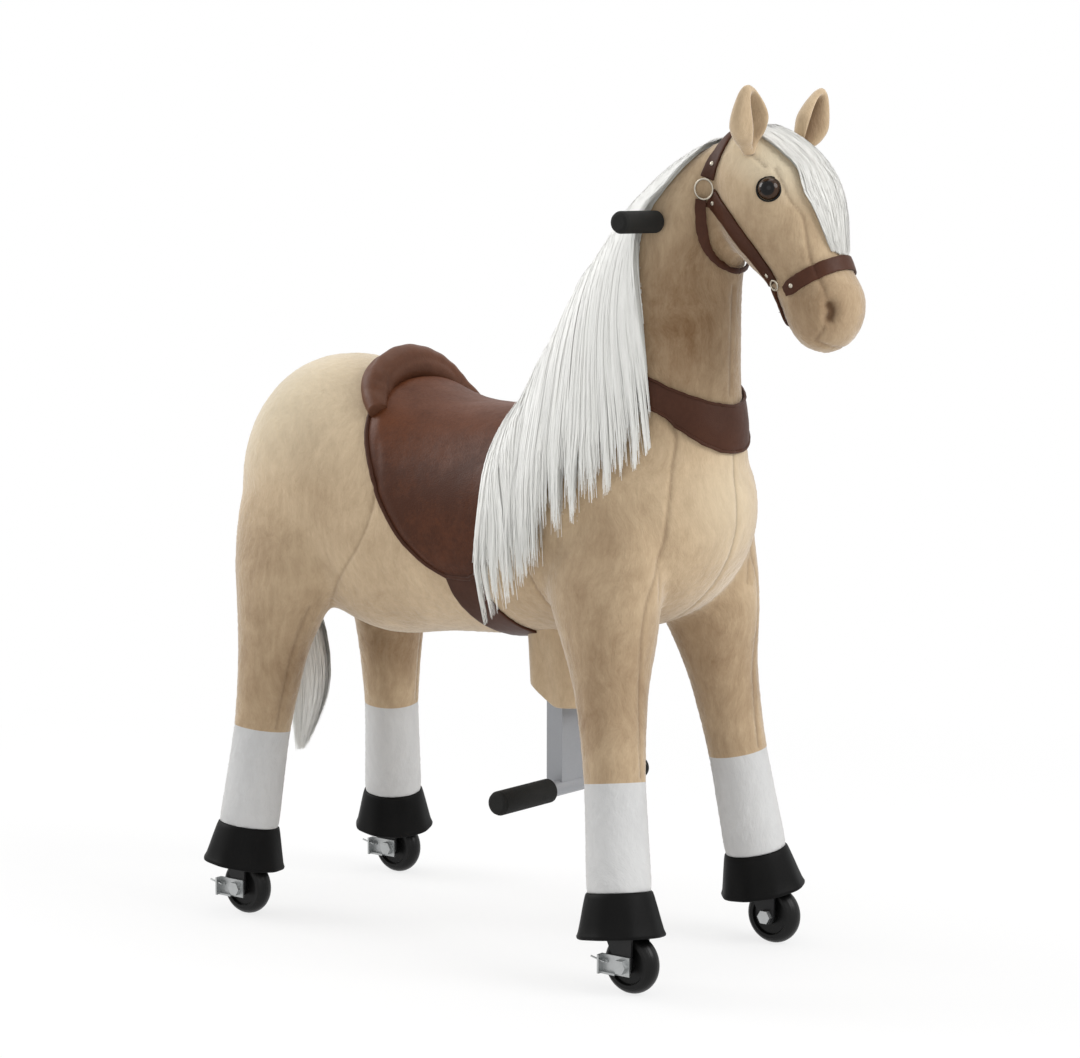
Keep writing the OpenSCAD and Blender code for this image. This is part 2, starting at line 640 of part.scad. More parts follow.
rim_h = 6;
module hoof(length) {
    r0 = hoof_rim_d / 2;
    r1 = hoof_top_d / 2;
    translate([0, 0, -length]) rotate_extrude() polygon([
        [r0 - hoof_wall, 0], [r0 - 2, 0], [r0, 2], [r0, rim_h - 2], [r0 - 2.5, rim_h],
        [r1, hoof_h - 1.5], [r1 - 1.5, hoof_h], [tube_d / 2 + 0.1, hoof_h],
        [tube_d / 2 + 0.1, hoof_h - hoof_wall], [r1 - hoof_wall, hoof_h - hoof_wall],
        [r0 - hoof_wall - 2, rim_h]]);
}
module front_hooves() color("#222222") on_body() for (s = [-1, 1]) front_leg(s) hoof(front_hoof);
module rear_hooves() color("#222222") on_body() for (s = [-1, 1]) rear_leg(s) hoof(rear_hoof);

// Fork: crown inside the hoof, two arms beside the wheel
arm_in = wheel_w / 2 + wheel_side_gap;
crown_z = wheel_d / 2 + crown_gap;
module fork_head(axle, lead) {
    translate(axle) difference() {
        union() {
            both() translate([0, arm_in + fork_t, 0]) rotate([90, 0, 0]) linear_extrude(fork_t) {
                circle(r = fork_foot_r);
                polygon([[-fork_foot_r, 0], [fork_foot_r, 0],
                    [10, crown_z + fork_t], [-lead - 13, crown_z + fork_t]]);
            }
            translate([-lead - 13, -arm_in - fork_t, crown_z])
                cube([lead + 23, 2 * (arm_in + fork_t), fork_t]);
        }
        bolt(axle_d + 0.2, 100);
    }
}
stem_low = hinge_z - axle_z - crown_z - fork_t / 2;
module front_fork(side) {
    fork_head([front_axle[0], side * front_axle[1], front_axle[2]], front_lead);
    front_leg(side) {
        s0 = stem_low / (cos(leg_splay) * cos(front_rake));
        translate([0, 0, -s0]) cylinder(d = stem_d, h = s0 + fork_top + fork_arm_t);
        translate([0, 0, fork_top]) {
            cylinder(d = stem_d + 6, h = fork_arm_t);
            translate([0, -7, 0]) cube([arm_r, 14, fork_arm_t]);
            translate([arm_r, 0, 0]) cylinder(d = 14, h = fork_arm_t);
            translate([arm_r, 0, 0]) cylinder(d = stud_d, h = 24);
        }
    }
}
module fork_right() color("#2b2b2b") on_body() front_fork(-1);
module fork_left() color("#2b2b2b") on_body() front_fork(1);
module rear_forks() color("#2b2b2b") on_body() for (s = [-1, 1]) {
    fork_head([rear_axle[0], s * rear_axle[1], rear_axle[2]], rear_lead);
    s0 = stem_low / (cos(leg_splay) * cos(rear_rake));
    rear_leg(s) translate([0, 0, -s0]) cylinder(d = tube_bore - 0.2, h = 60);
}

// Axle bolt with head and nut; plate_side says which side carries the stop plate
plate_out = arm_in + fork_t;
module axle_at(p, plate_side) translate(p) {
    out = [plate_out + (plate_side < 0 ? stop_t : 0), plate_out + (plate_side > 0 ? stop_t : 0)];
    translate([0, (out[1] - out[0]) / 2, 0]) bolt(axle_d, out[0] + out[1] + 1);
    translate([0, out[1], 0]) hexagon(nut_af, nut_h);
    mirror([0, 1, 0]) translate([0, out[0], 0]) hexagon(nut_af, nut_h);
}
module stop_plate_at(p, plate_side) translate(p) scale([1, plate_side, 1]) difference() {
    union() {
        translate([-stop_l, plate_out, -stop_h / 2]) cube([stop_l + 9, stop_t, stop_h]);
        translate([-stop_l, plate_out, -stop_h / 2]) cube([stop_t, 9, stop_h]);
        translate([-stop_l, plate_out, -stop_h / 2]) cube([stop_l - 6, 6, stop_t]);
    }
    bolt(axle_d + 0.2, 100);
    translate([-stop_l + 7, plate_out, 3]) bolt(spring_d + 0.4, 40);
    translate([-stop_l + 7, plate_out + 5 + stop_t, 3]) rotate([0, -78, 0])
        cylinder(d = spring_d + 0.4, h = 16);
}
module stop_spring_at(p, plate_side) translate(p) scale([1, plate_side, 1])
    translate([-stop_l + 7, plate_out, 3]) {
        translate([0, 2.5 + stop_t / 2, 0]) bolt(spring_d, 5 + stop_t);
        translate([0, 5 + stop_t, 0]) sphere(d = spring_d);
        translate([0, 5 + stop_t, 0]) rotate([0, -78, 0]) cylinder(d = spring_d, h = 16);
        translate([0, stop_t + 0.2, 0]) rotate([-90, 0, 0]) cylinder(d = spring_d + 2, h = 1.4);
    }
front_right_axle = [front_axle[0], -front_axle[1], front_axle[2]];
rear_right_axle = [rear_axle[0], -rear_axle[1], rear_axle[2]];
module axle_right() color("silver") on_body() axle_at(front_right_axle, -1);
module axle_left() color("silver") on_body() axle_at(front_axle, 1);
module rear_axles() color("silver") on_body() { axle_at(rear_right_axle, -1); axle_at(rear_axle, -1); }
module stop_plate_right() color("gainsboro") on_body() stop_plate_at(front_right_axle, -1);
module stop_plate_left() color("gainsboro") on_body() stop_plate_at(front_axle, 1);
module rear_stop_plates() color("gainsboro") on_body() {
    stop_plate_at(rear_right_axle, -1);
    stop_plate_at(rear_axle, -1);
}
module stop_spring_right() color("silver") on_body() stop_spring_at(front_right_axle, -1);
module stop_spring_left() color("silver") on_body() stop_spring_at(front_axle, 1);
module rear_stop_springs() color("silver") on_body() {
    stop_spring_at(rear_right_axle, -1);
    stop_spring_at(rear_axle, -1);
}

// Wheel with round tread and dished sides
module wheel_at(p) {
    r = wheel_d / 2;
    w = wheel_w / 2;
    tread = [for (a = [-75 : 15 : 75]) [r - 8 + 8 * cos(a), (w - 1) * sin(a) / sin(75)]];
    translate(p) rotate([90, 0, 0]) rotate_extrude() polygon(concat(
        [[axle_d / 2 + 0.08, -w], [wheel_boss_d / 2, -w], [wheel_boss_d / 2, -w + wheel_dish],
         [r - 11, -w + wheel_dish], [r - 9.5, -w + 1]],
        tread,
        [[r - 9.5, w - 1], [r - 11, w - wheel_dish], [wheel_boss_d / 2, w - wheel_dish],
         [wheel_boss_d / 2, w], [axle_d / 2 + 0.08, w]]));
}
module wheel_front_right() color("#1c1c1c") on_body() wheel_at(front_right_axle);
module wheel_front_left() color("#1c1c1c") on_body() wheel_at(front_axle);
module wheel_rear_right() color("#1c1c1c") on_body() wheel_at(rear_right_axle);
module wheel_rear_left() color("#1c1c1c") on_body() wheel_at(rear_axle);

// Rod that ties the two cranks together
module link_rod() color("gray") on_body() difference() {
    bar_between(front_crank_pin, rear_crank_pin, 9, 9, rod_y0, rod_y1);
    translate([front_crank_pin[0], 0, front_crank_pin[1]]) bolt(crank_pin_d + 2 * fit, 100);
    translate([rear_crank_pin[0], 0, rear_crank_pin[1]]) bolt(crank_pin_d + 2 * crank_gap, 100);
}

// Pedal post with cam plate, foot bar and grips
post_top = 12;
foot_x = post_x + foot_lead;
module pedal_post() color("darkgray") on_body() difference() {
    translate([post_x - post_d / 2, -post_w / 2, -foot_drop - 2])
        cube([post_d, post_w, post_top + foot_drop + 2]);
    translate([post_x - post_d / 2 + post_wall, -post_w / 2 + post_wall, -foot_drop - 3])
        cube([post_d - 2 * post_wall, post_w - 2 * post_wall, post_top + foot_drop + 3 - 4]);
    translate([foot_x, 0, -foot_drop]) bolt(foot_bar_d + 0.1, 200);
}
slot_top = [front_crank_pin[0] + crank_r * (sin(crank_a) - sin(crank_a - swing)),
            front_crank_pin[1] + crank_r * (cos(crank_a - swing) - cos(crank_a)) + stroke];
module cam_plate() color("gray") on_body() difference() {
    union() {
        translate([post_x - post_d / 2, -cam_y, post_top]) cube([post_d, 2 * cam_y, 38]);
        translate([post_x - post_d / 2, cam_y, 0]) rotate([90, 0, 0]) linear_extrude(2 * cam_y) polygon([
            [0, post_top + 20], [0, post_top + 38],
            [front_crank_pin[0] - post_x + post_d / 2 - 12, slot_top[1] + 13],
            [slot_top[0] - post_x + post_d / 2 + 13, slot_top[1] + 13],
            [slot_top[0] - post_x + post_d / 2 + 13, slot_top[1] - 4],
            [front_crank_pin[0] - post_x + post_d / 2 + 13, front_crank_pin[1] - 13],
            [front_crank_pin[0] - post_x + post_d / 2 - 12, front_crank_pin[1] - 13]]);
    }
    bar_between(front_crank_pin, slot_top, crank_pin_d / 2 + crank_gap, crank_pin_d / 2 + crank_gap, -20, 20);
}
foot_end = foot_grip_y + foot_grip_l;
module foot_bar() color("darkgray") on_body()
    translate([foot_x, 0, -foot_drop]) bolt(foot_bar_d, 2 * foot_end - 8);
module grip(d, bore, l) {
    rotate([-90, 0, 0]) rotate_extrude() polygon([[bore / 2 + 0.05, 0], [d / 2 - 1.5, 0], [d / 2, 1.5],
        [d / 2, l - 4], [d / 2 - 1.2, l - 1.2], [d / 2 - 4, l], [0, l], [0, l - 3.5],
        [bore / 2 + 0.05, l - 3.5]]);
}
module foot_grips() color("#1a1a1a") on_body() both()
    translate([foot_x, foot_grip_y, -foot_drop]) grip(foot_grip_d, foot_bar_d, foot_grip_l);

// Steering column with arm, stud and clamp block, handlebar and grips
bar_x = handle_x - bar_back;
handle_grip_l = handle_reach - handle_grip_in;
module clamp_block(g) {
    translate([bar_x - handlebar_d / 2 - 5 - g, -12 - g, handle_h - handlebar_d / 2 - 5 - g])
        cube([bar_back + handlebar_d / 2 + 5 + g, 24 + 2 * g, handlebar_d + 10 + 2 * g]);
}
stud_drop = (column_low - arm_r * sin(lean) - rack_z + 1.5) / cos(lean);
module steering_column() color("gray") on_body() difference() {
    union() {
        steer_line() {
            translate([0, 0, along(column_low)]) cylinder(d = column_d, h = handlebar_d - along(column_low));
            translate([0, 0, along(column_low)]) {
                translate([0, -8, 0]) cube([arm_r, 16, 6]);
                translate([arm_r, 0, 0]) cylinder(d = 16, h = 6);
                translate([arm_r, 0, -stud_drop]) cylinder(d = stud_d, h = stud_drop + 2);
            }
        }
        clamp_block(0);
    }
    translate([bar_x, 0, handle_h]) bolt(handlebar_d + 0.1, 200);
}
module handlebar() color("gray") on_body()
    translate([bar_x, 0, handle_h]) bolt(handlebar_d, 2 * handle_reach - 8);
module handle_grips() color("#1a1a1a") on_body() both()
    translate([bar_x, handle_grip_in, handle_h])
        grip(handle_grip_d, handlebar_d, handle_grip_l);
slot_l = 8;
module stud_slot(p) {
    translate([p[0], p[1], rack_z - 1]) linear_extrude(rack_t + 2) {
        for (e = [-1, 1]) translate([e * (slot_l - stud_d / 2), 0]) circle(d = stud_d + 2 * stud_gap);
        square([2 * slot_l - stud_d, stud_d + 2 * stud_gap], center = true);
    }
}
module rack_bar() color("gray") on_body() difference() {
    translate([rack_back, -rack_l / 2, rack_z]) cube([rack_front - rack_back, rack_l, rack_t]);
    stud_slot([rack_x, 0]);
    for (s = [-1, 1]) stud_slot([fork_stud[0], s * fork_stud[1]]);
}

// Neck turns on the seam plane, the head is sewn to its top
module neck() color("tan") on_body() sewn() difference() {
    intersection() {
        neck_form(0);
        steer_line() translate([0, 0, seam_along + soft_gap])
            cylinder(r = seam_r - mane_t - 2 * soft_gap, h = 400);
    }
    steer_line() translate([0, 0, seam_along - 10])
        cylinder(d = head_tube_d + 4, h = along(head_tube_high) - seam_along + 14);
    steer_line() translate([0, 0, seam_along - 10])
        cylinder(d = column_d + 2 * soft_gap, h = handlebar_d + soft_gap + 10 - seam_along);
    clamp_block(soft_gap);
    translate([bar_x, 0, handle_h]) bolt(handlebar_d + 2 * soft_gap, 300);
    both() translate([bar_x, handle_grip_in + 50, handle_h]) bolt(handle_grip_d + 2 * soft_gap, 101);
}
module head() color("tan") on_body() sewn() difference() {
    head_form(0);
    neck_form(soft_gap);
}
ear_rows = smooth([[-6, 0, 8, 7], [4, 0, 11.5, 14], [14, 0, 13.5, 20.5], [28, 0, 14.5, 24], [42, 0, 12, 20.5],
    [53, 0, 9, 14], [60.5, 0, 6, 8.5], [65, 0, 2, 3]], 2);
ear_rings = [for (r = ear_rows) [for (i = [0 : 15])
    let (t = -360 * i / 16) [r[1] + r[2] * cos(t), r[3] * sin(t), r[0]]]];
ear_tilt = 17.4;
ear_lean = 9.4;
ear_turn = 6;
module ear_frame(side) {
    translate([334, side * 46, 378]) rotate([-side * ear_tilt, ear_lean, side * ear_turn]) children();
}
module ear(side) sewn() difference() {
    ear_frame(side) difference() {
        loft(ear_rings);
        translate([16, 0, 30]) scale([1.7, 1.45, 2.2]) sphere(d = 24, $fn = 20);
    }
    head_form(soft_gap);
}
module ear_right() color("tan") on_body() ear(-1);
module ear_left() color("tan") on_body() ear(1);
eye_at = [355, 45.5, 342];
module eyes() color("#20130c") on_body() sewn() difference() {
    both() translate(eye_at) sphere(d = eye_d, $fn = 24);
    head_form(soft_gap);
}

// Halter straps: the skin of the head between two thicknesses, cut to strap shapes
strap_ring = [281, 342];
strap_nose = [343, 254];
function face_at(down, out) =
    [poll[0] + down * face_down[0] + out * face_out[0], poll[2] + down * face_down[2] + out * face_out[2]];
module strap(a, b, w = halter_w) {
    n = unit([a[1] - b[1], b[0] - a[0]]) * w / 2;
    rotate([90, 0, 0]) linear_extrude(300, center = true) polygon([a + n, b + n, b - n, a - n]);
}
module halter() color("saddlebrown") on_body() sewn() difference() {
    intersection() {
        head_form(strap_t);
        union() {
            strap(strap_ring, [309, 314]);
            strap([306, 317], strap_nose - [2, -4]);
            strap(face_at(166, -10), face_at(155.6, 70));
            strap(face_at(155, -14), face_at(192, -50), 0.7 * halter_w);
            strap(strap_ring, [274, 302], 0.7 * halter_w);
            strap([273, 305], [288, 262], 0.7 * halter_w);
            strap(strap_ring - [4, 9], [292, 384]);
        }
    }
    head_form(soft_gap);
    neck_form(2 * soft_gap);
    for (s = [-1, 1]) ear_gap(s);
}
module ear_gap(side) ear_frame(side) translate([0, 0, -20]) cylinder(r1 = 18, r2 = 27, h = 50, $fn = 20);
rivet_at = [[287, 366], [289, 328], [343, 256], [377, 251], strap_ring];
module halter_rings() color("silver") on_body() sewn() intersection() {
    for (r = rivet_at) translate([r[0], 0, r[1]]) bolt(r == strap_ring ? 16 : 6, 200);
    difference() {
        head_form(strap_t + 2.5);
        head_form(strap_t + 0.1);
        neck_form(2 * soft_gap);
    }
}
module breast_collar() color("saddlebrown") on_body() sewn() difference() {
    intersection() {
        neck_form(strap_t + soft_gap);
        rotate([90, 0, 0]) linear_extrude(300, center = true)
            polygon([[70, 176], [200, 160], [330, 130], [330, 92], [296, 86], [240, 118], [160, 140],
                [70, 152]]);
        steer_line() translate([0, 0, seam_along + soft_gap]) cylinder(r = seam_r - 2 * soft_gap, h = 400);
    }
    neck_form(soft_gap);
    mane_form(soft_gap);
}
mane_back = 106;
mane_front = smooth([
    [330, 440], [284, 400], [248, 366], [206, 300], [200, 240], [212, 180], [236, 118], [246, 80]
], 3);
module mane_form(g) intersection() {
    neck_form(mane_t + g);
    translate([0, 14 + g, 0]) rotate([90, 0, 0]) linear_extrude(200)
        polygon(concat([for (p = mane_front) p + [g, 0]], [[40, 80], [40, 440]]));
}
module mane() color("whitesmoke") on_body() sewn() difference() {
    mane_form(0);
    neck_form(soft_gap);
    head_form(soft_gap + strap_t);
    steer_line() translate([0, 0, seam_along - 200]) cylinder(r = 300, h = 200 + soft_gap);
    steer_line() translate([0, 0, seam_along - 1]) difference() {
        cylinder(r = 300, h = 60);
        cylinder(r = seam_r - soft_gap, h = 130, center = true);
    }
    translate([bar_x, 0, handle_h]) bolt(handle_grip_d + 4, 400);
    translate([0, -100, 0]) cube([mane_back, 200, 160]);
}
forelock_half = [[-12, 14], [8, 27], [40, 33], [90, 33], [116, 26], [150, 19]];
module forelock() color("whitesmoke") on_body() sewn() difference() {
    intersection() {
        head_form(forelock_t);
        translate([poll[0], 0, poll[2]]) rotate([0, -face_lean, 0]) rotate([0, 90, 0]) translate([0, 0, -8])
            linear_extrude(120) polygon(concat(
                forelock_half, [for (i = [5 : -1 : 0]) [forelock_half[i][0], -forelock_half[i][1]]]));
    }
    head_form(soft_gap);
    for (s = [-1, 1]) ear_gap(s);
    strap(face_at(166, -10), face_at(155.6, 80));
}

chassis_frame();
hinge_pins();
seat_board();
seat_screws();
torso();
saddle_seat();
saddle_cantle();
girth_strap();
tail();
pedal_sleeve();
mane_fall();
front_yoke();
front_leg_tubes();
stem_bushes();
front_leg_right();
front_leg_left();
front_socks();
front_hooves();
rear_yoke();
rear_leg_tubes();
rear_leg_right();
rear_leg_left();
rear_socks();
rear_hooves();
rear_forks();
rear_axles();
rear_stop_plates();
rear_stop_springs();
link_rod();
pedal_post();
cam_plate();
foot_bar();
foot_grips();
steering_column();
handlebar();
handle_grips();
neck();
head();
ear_right();
ear_left();
eyes();
halter();
halter_rings();
breast_collar();
mane();
forelock();
rack_bar();
fork_right();
axle_right();
stop_plate_right();
stop_spring_right();
fork_left();
axle_left();
stop_plate_left();
stop_spring_left();
wheel_front_right();
wheel_front_left();
wheel_rear_right();
wheel_rear_left();
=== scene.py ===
"""Looks of a ride-on plush horse on wheels: plush skin, tack, hair and hardware around the CAD frame."""
import logging
import math
import random
from dataclasses import dataclass, field
from enum import Enum
from typing import Callable, Iterable, Sequence

import bmesh
import bpy
import numpy as np
from mathutils import Matrix, Vector, noise
from mathutils.bvhtree import BVHTree
from mathutils.kdtree import KDTree


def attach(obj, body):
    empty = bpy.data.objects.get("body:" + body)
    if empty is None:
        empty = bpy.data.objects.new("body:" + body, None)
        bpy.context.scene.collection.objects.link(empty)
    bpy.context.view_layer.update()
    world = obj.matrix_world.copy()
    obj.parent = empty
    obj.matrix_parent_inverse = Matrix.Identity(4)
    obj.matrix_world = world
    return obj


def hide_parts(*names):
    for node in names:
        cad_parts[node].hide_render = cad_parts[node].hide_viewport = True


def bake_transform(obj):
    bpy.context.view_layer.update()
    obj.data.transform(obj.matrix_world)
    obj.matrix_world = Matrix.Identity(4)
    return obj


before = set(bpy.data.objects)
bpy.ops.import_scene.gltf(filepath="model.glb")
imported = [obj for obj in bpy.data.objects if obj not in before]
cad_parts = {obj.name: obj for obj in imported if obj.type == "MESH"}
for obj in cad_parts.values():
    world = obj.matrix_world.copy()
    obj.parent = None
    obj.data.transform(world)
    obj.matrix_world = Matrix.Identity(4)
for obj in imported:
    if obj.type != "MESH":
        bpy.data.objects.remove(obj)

LOG = logging.getLogger("horse")
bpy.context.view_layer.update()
ORIGIN_X = 38.470
HINGE_Z = 440.0
Row = Sequence[float]
Rows = Sequence[Row]
Place = tuple[float, float, float]
Colour = tuple[float, float, float]
Piece = bpy.types.Object
Socket = bpy.types.NodeSocket
Strand = tuple[Callable[[float], tuple[Vector, Vector]], float, float]
PHASE_MAX = 6.28


class Side(Enum):
    """Side of the horse, as the sign of Y."""

    RIGHT = -1
    LEFT = 1


class Slot(Enum):
    """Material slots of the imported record."""

    TAN = "tan_plush"
    WHITE = "white_plush"
    HAIR = "hair"
    LEATHER = "brown_leather"
    ZINC = "zinc"
    HOOF = "hoof_plastic"
    EYE = "eye"


def at(x: float, y: float, z: float) -> Vector:
    """Turns millimetres (x from the wheelbase's middle, z from the hinge line) into the row frame.

    Args:
        x: forward, in millimetres.
        y: to the horse's left, in millimetres.
        z: up from the leg hinges, in millimetres.

    Returns:
        The point in metres.
    """
    return mm(x - ORIGIN_X, y, z + HINGE_Z)


def mm(x: float, y: float, z: float) -> Vector:
    """Gives a step in millimetres as one in metres."""
    return Vector((x / 1000, y / 1000, z / 1000))


def turned(angle: float, axis: str) -> Matrix:
    """Gives a turn by degrees about one axis."""
    return Matrix.Rotation(math.radians(angle), 3, axis)


def circle(count: int) -> list[Vector]:
    """Gives evenly spaced points of a unit circle."""
    return [Vector((math.cos(a), math.sin(a), 0)) for a in (2 * math.pi * k / count for k in range(count))]


def tree_of(points: Sequence[Vector]) -> KDTree:
    """Gives a search tree of points."""
    tree = KDTree(len(points))
    for i, point in enumerate(points):
        tree.insert(point, i)
    tree.balance()
    return tree


def mark(obj: Piece, name: str, values: float | Sequence[float] | np.ndarray) -> None:
    """Gives each point of a mesh a value that its material reads."""
    each = np.empty(len(obj.data.vertices), np.float32)
    each[:] = values
    obj.data.attributes.new(name, "FLOAT", "POINT").data.foreach_set("value", each)


def smooth_rows(rows: Sequence[Row], steps: int) -> list[np.ndarray]:
    """Runs a smooth curve through rows of numbers.

    Args:
        rows: rows of equal length.
        steps: rows to make between two given ones.

    Returns:
        The finer rows, first and last kept.
    """
    points = [np.array(r, float) for r in rows]
    last = len(points) - 1
    out = []
    for i in range(last):
        a, b = points[max(i - 1, 0)], points[i]
        c, d = points[i + 1], points[min(i + 2, last)]
        for k in range(steps):
            t = k / steps
            out.append(0.5 * (2 * b + (c - a) * t + (2 * a - 5 * b + 4 * c - d) * t ** 2
                              + (3 * b - a - 3 * c + d) * t ** 3))
    out.append(points[last])
    return out


def row_at(rows: Sequence[np.ndarray], t: float) -> np.ndarray:
    """Gives the row at share t of a list of rows, between its neighbours."""
    place = min(max(t, 0.0), 1.0) * (len(rows) - 1)
    i = min(int(place), len(rows) - 2)
    return rows[i] * (1 - place + i) + rows[i + 1] * (place - i)


def ramp(low: float, high: float, value: float) -> float:
    """Gives a smooth step from 0 at low to 1 at high."""
    t = min(max((value - low) / (high - low), 0.0), 1.0)
    return t * t * (3 - 2 * t)


@dataclass
class Station:
    """One cross section of a loft: its middle, two half axes and how square it is."""

    centre: Vector
    across: Vector
    up: Vector
    power: float = 1.0


def loft(bm: bmesh.types.BMesh, stations: Sequence[Station], segments: int, closed: bool = True) -> None:
    """Skins a row of cross sections.

    Args:
        bm: mesh that takes the skin.
        stations: cross sections in order.
        segments: points around each.
        closed: whether the two ends are filled.
    """
    loops = []
    for station in stations:
        made = bmesh.ops.create_circle(bm, cap_ends=False, segments=segments, radius=1.0)["verts"]
        for v in made:
            c = math.copysign(abs(v.co.x) ** station.power, v.co.x)
            s = math.copysign(abs(v.co.y) ** station.power, v.co.y)
            v.co = station.centre + station.across * c + station.up * s
        loops.append(list({e for v in made for e in v.link_edges}))
    for a, b in zip(loops, loops[1:]):
        bmesh.ops.bridge_loops(bm, edges=a + b)
    if closed:
        bmesh.ops.holes_fill(bm, edges=loops[0] + loops[-1], sides=0)
    bmesh.ops.recalc_face_normals(bm, faces=bm.faces)


def linked(name: str, data: bpy.types.ID) -> Piece:
    """Makes an object of that name in the scene."""
    obj = bpy.data.objects.new(name, data)
    bpy.context.scene.collection.objects.link(obj)
    return obj


def piece_from(bm: bmesh.types.BMesh, name: str, shade_smooth: bool = True) -> Piece:
    """Turns a bmesh into a linked object of that name and frees it."""
    mesh = bpy.data.meshes.new(name)
    for f in bm.faces:
        f.smooth = shade_smooth
    bm.to_mesh(mesh)
    bm.free()
    return linked(name, mesh)


def evaluated(obj: Piece) -> bpy.types.Mesh:
    """Gives an object's mesh as its curve or modifiers shape it."""
    return bpy.data.meshes.new_from_object(obj.evaluated_get(bpy.context.evaluated_depsgraph_get()))


def modified(obj: Piece, kind: str, **values: object) -> Piece:
    """Adds one modifier with these values and applies it."""
    modifier = obj.modifiers.new(kind.lower(), kind)
    for name, value in values.items():
        setattr(modifier, name, value)
    old, mesh = obj.data, evaluated(obj)
    obj.modifiers.clear()
    obj.data = mesh
    mesh.name = obj.name
    bpy.data.meshes.remove(old)
    return obj


def tube(name: str, points: Iterable[Vector], radius: float, closed: bool = False, sides: int = 3) -> Piece:
    """Makes a round cord of leather or wire along points.

    Args:
        name: name of the piece.
        points: the line that it follows.
        radius: its radius in metres.
        closed: whether it runs back into its start.
        sides: fineness of the round section.

    Returns:
        The mesh object.
    """
    curve = bpy.data.curves.new(name, "CURVE")
    curve.dimensions = "3D"
    curve.bevel_depth = radius
    curve.bevel_resolution = sides
    curve.use_fill_caps = not closed
    line = list(points)
    spline = curve.splines.new("POLY")
    spline.points.add(len(line) - 1)
    for point, place in zip(spline.points, line):
        point.co = (*place, 1.0)
    spline.use_cyclic_u = closed
    obj = linked(name, curve)
    mesh = evaluated(obj)
    bpy.data.objects.remove(obj)
    mesh.shade_smooth()
    return linked(name, mesh)


def joined(name: str, parts: Sequence[Piece]) -> Piece:
    """Joins finished meshes into one piece of that name."""
    bm = bmesh.new()
    for part in parts:
        bm.from_mesh(part.data)
        bpy.data.objects.remove(part)
    return piece_from(bm, name)


class Skin:
    """The finished plush surface, which straps, saddle and hair lie on."""

    def __init__(self, obj: Piece) -> None:
        """Takes the surface of a mesh object as it is."""
        self.tree = BVHTree.FromPolygons([v.co.copy() for v in obj.data.vertices],
                                         [tuple(p.vertices) for p in obj.data.polygons])

    def nearest(self, point: Vector, lift: float = 0.0) -> Vector:
        """Gives the surface point nearest to a point, lifted along the outward normal."""
        place, normal, _, _ = self.tree.find_nearest(point)
        return place + normal * lift

    def normal(self, point: Vector) -> Vector:
        """Gives the outward normal nearest to a point."""
        return self.tree.find_nearest(point)[1]

    def outward(self, start: Vector, way: Vector, lift: float = 0.0, reach: float = 0.6) -> Vector:
        """Gives the outermost surface point on a ray that starts inside.

        Args:
            start: point inside the skin.
            way: direction of the ray.
            lift: distance that is added outwards, in metres.
            reach: length of the ray in metres.

        Returns:
            The lifted point, or the nearest one where the ray finds none.
        """
        way = way.normalized()
        place, normal, _, _ = self.tree.ray_cast(start + way * reach, -way)
        if place is None:
            return self.nearest(start + way * min(reach, 0.1), lift)
        return place + (normal if normal.dot(way) > 0 else -normal) * lift


def panel(name: str, nu: int, nv: int, place: Callable[[float, float], Vector], middle: Vector,
          thickness: float, edge: float = 0.0, wrap: bool = False) -> Piece:
    """Makes a leather or cloth panel from a grid whose points are placed by a rule.

    Args:
        name: name of the piece.
        nu: cells along the first direction.
        nv: cells along the second.
        place: gives the outer surface's point for shares u and v from 0 to 1.
        middle: point that the outer surface faces away from.
        thickness: thickness below the outer surface, in metres.
        edge: bevel width of the edges, in metres.
        wrap: whether the panel closes on itself along u.

    Returns:
        The closed panel.
    """
    bm = bmesh.new()
    bmesh.ops.create_grid(bm, x_segments=nu, y_segments=nv, size=0.5)
    for v in bm.verts:
        v.co = place(v.co.x + 0.5, v.co.y + 0.5)
    if wrap:
        bmesh.ops.remove_doubles(bm, verts=bm.verts, dist=0.0002)
    bmesh.ops.recalc_face_normals(bm, faces=bm.faces)
    bm.normal_update()
    if sum(f.normal.dot(f.calc_center_median() - middle) for f in bm.faces) < 0:
        bmesh.ops.reverse_faces(bm, faces=bm.faces)
    obj = piece_from(bm, name)
    modified(obj, "SOLIDIFY", thickness=thickness, offset=-1.0)
    if edge:
        modified(obj, "BEVEL", width=edge, segments=2, limit_method="ANGLE", angle_limit=math.radians(50))
    obj.data.shade_smooth()
    return obj


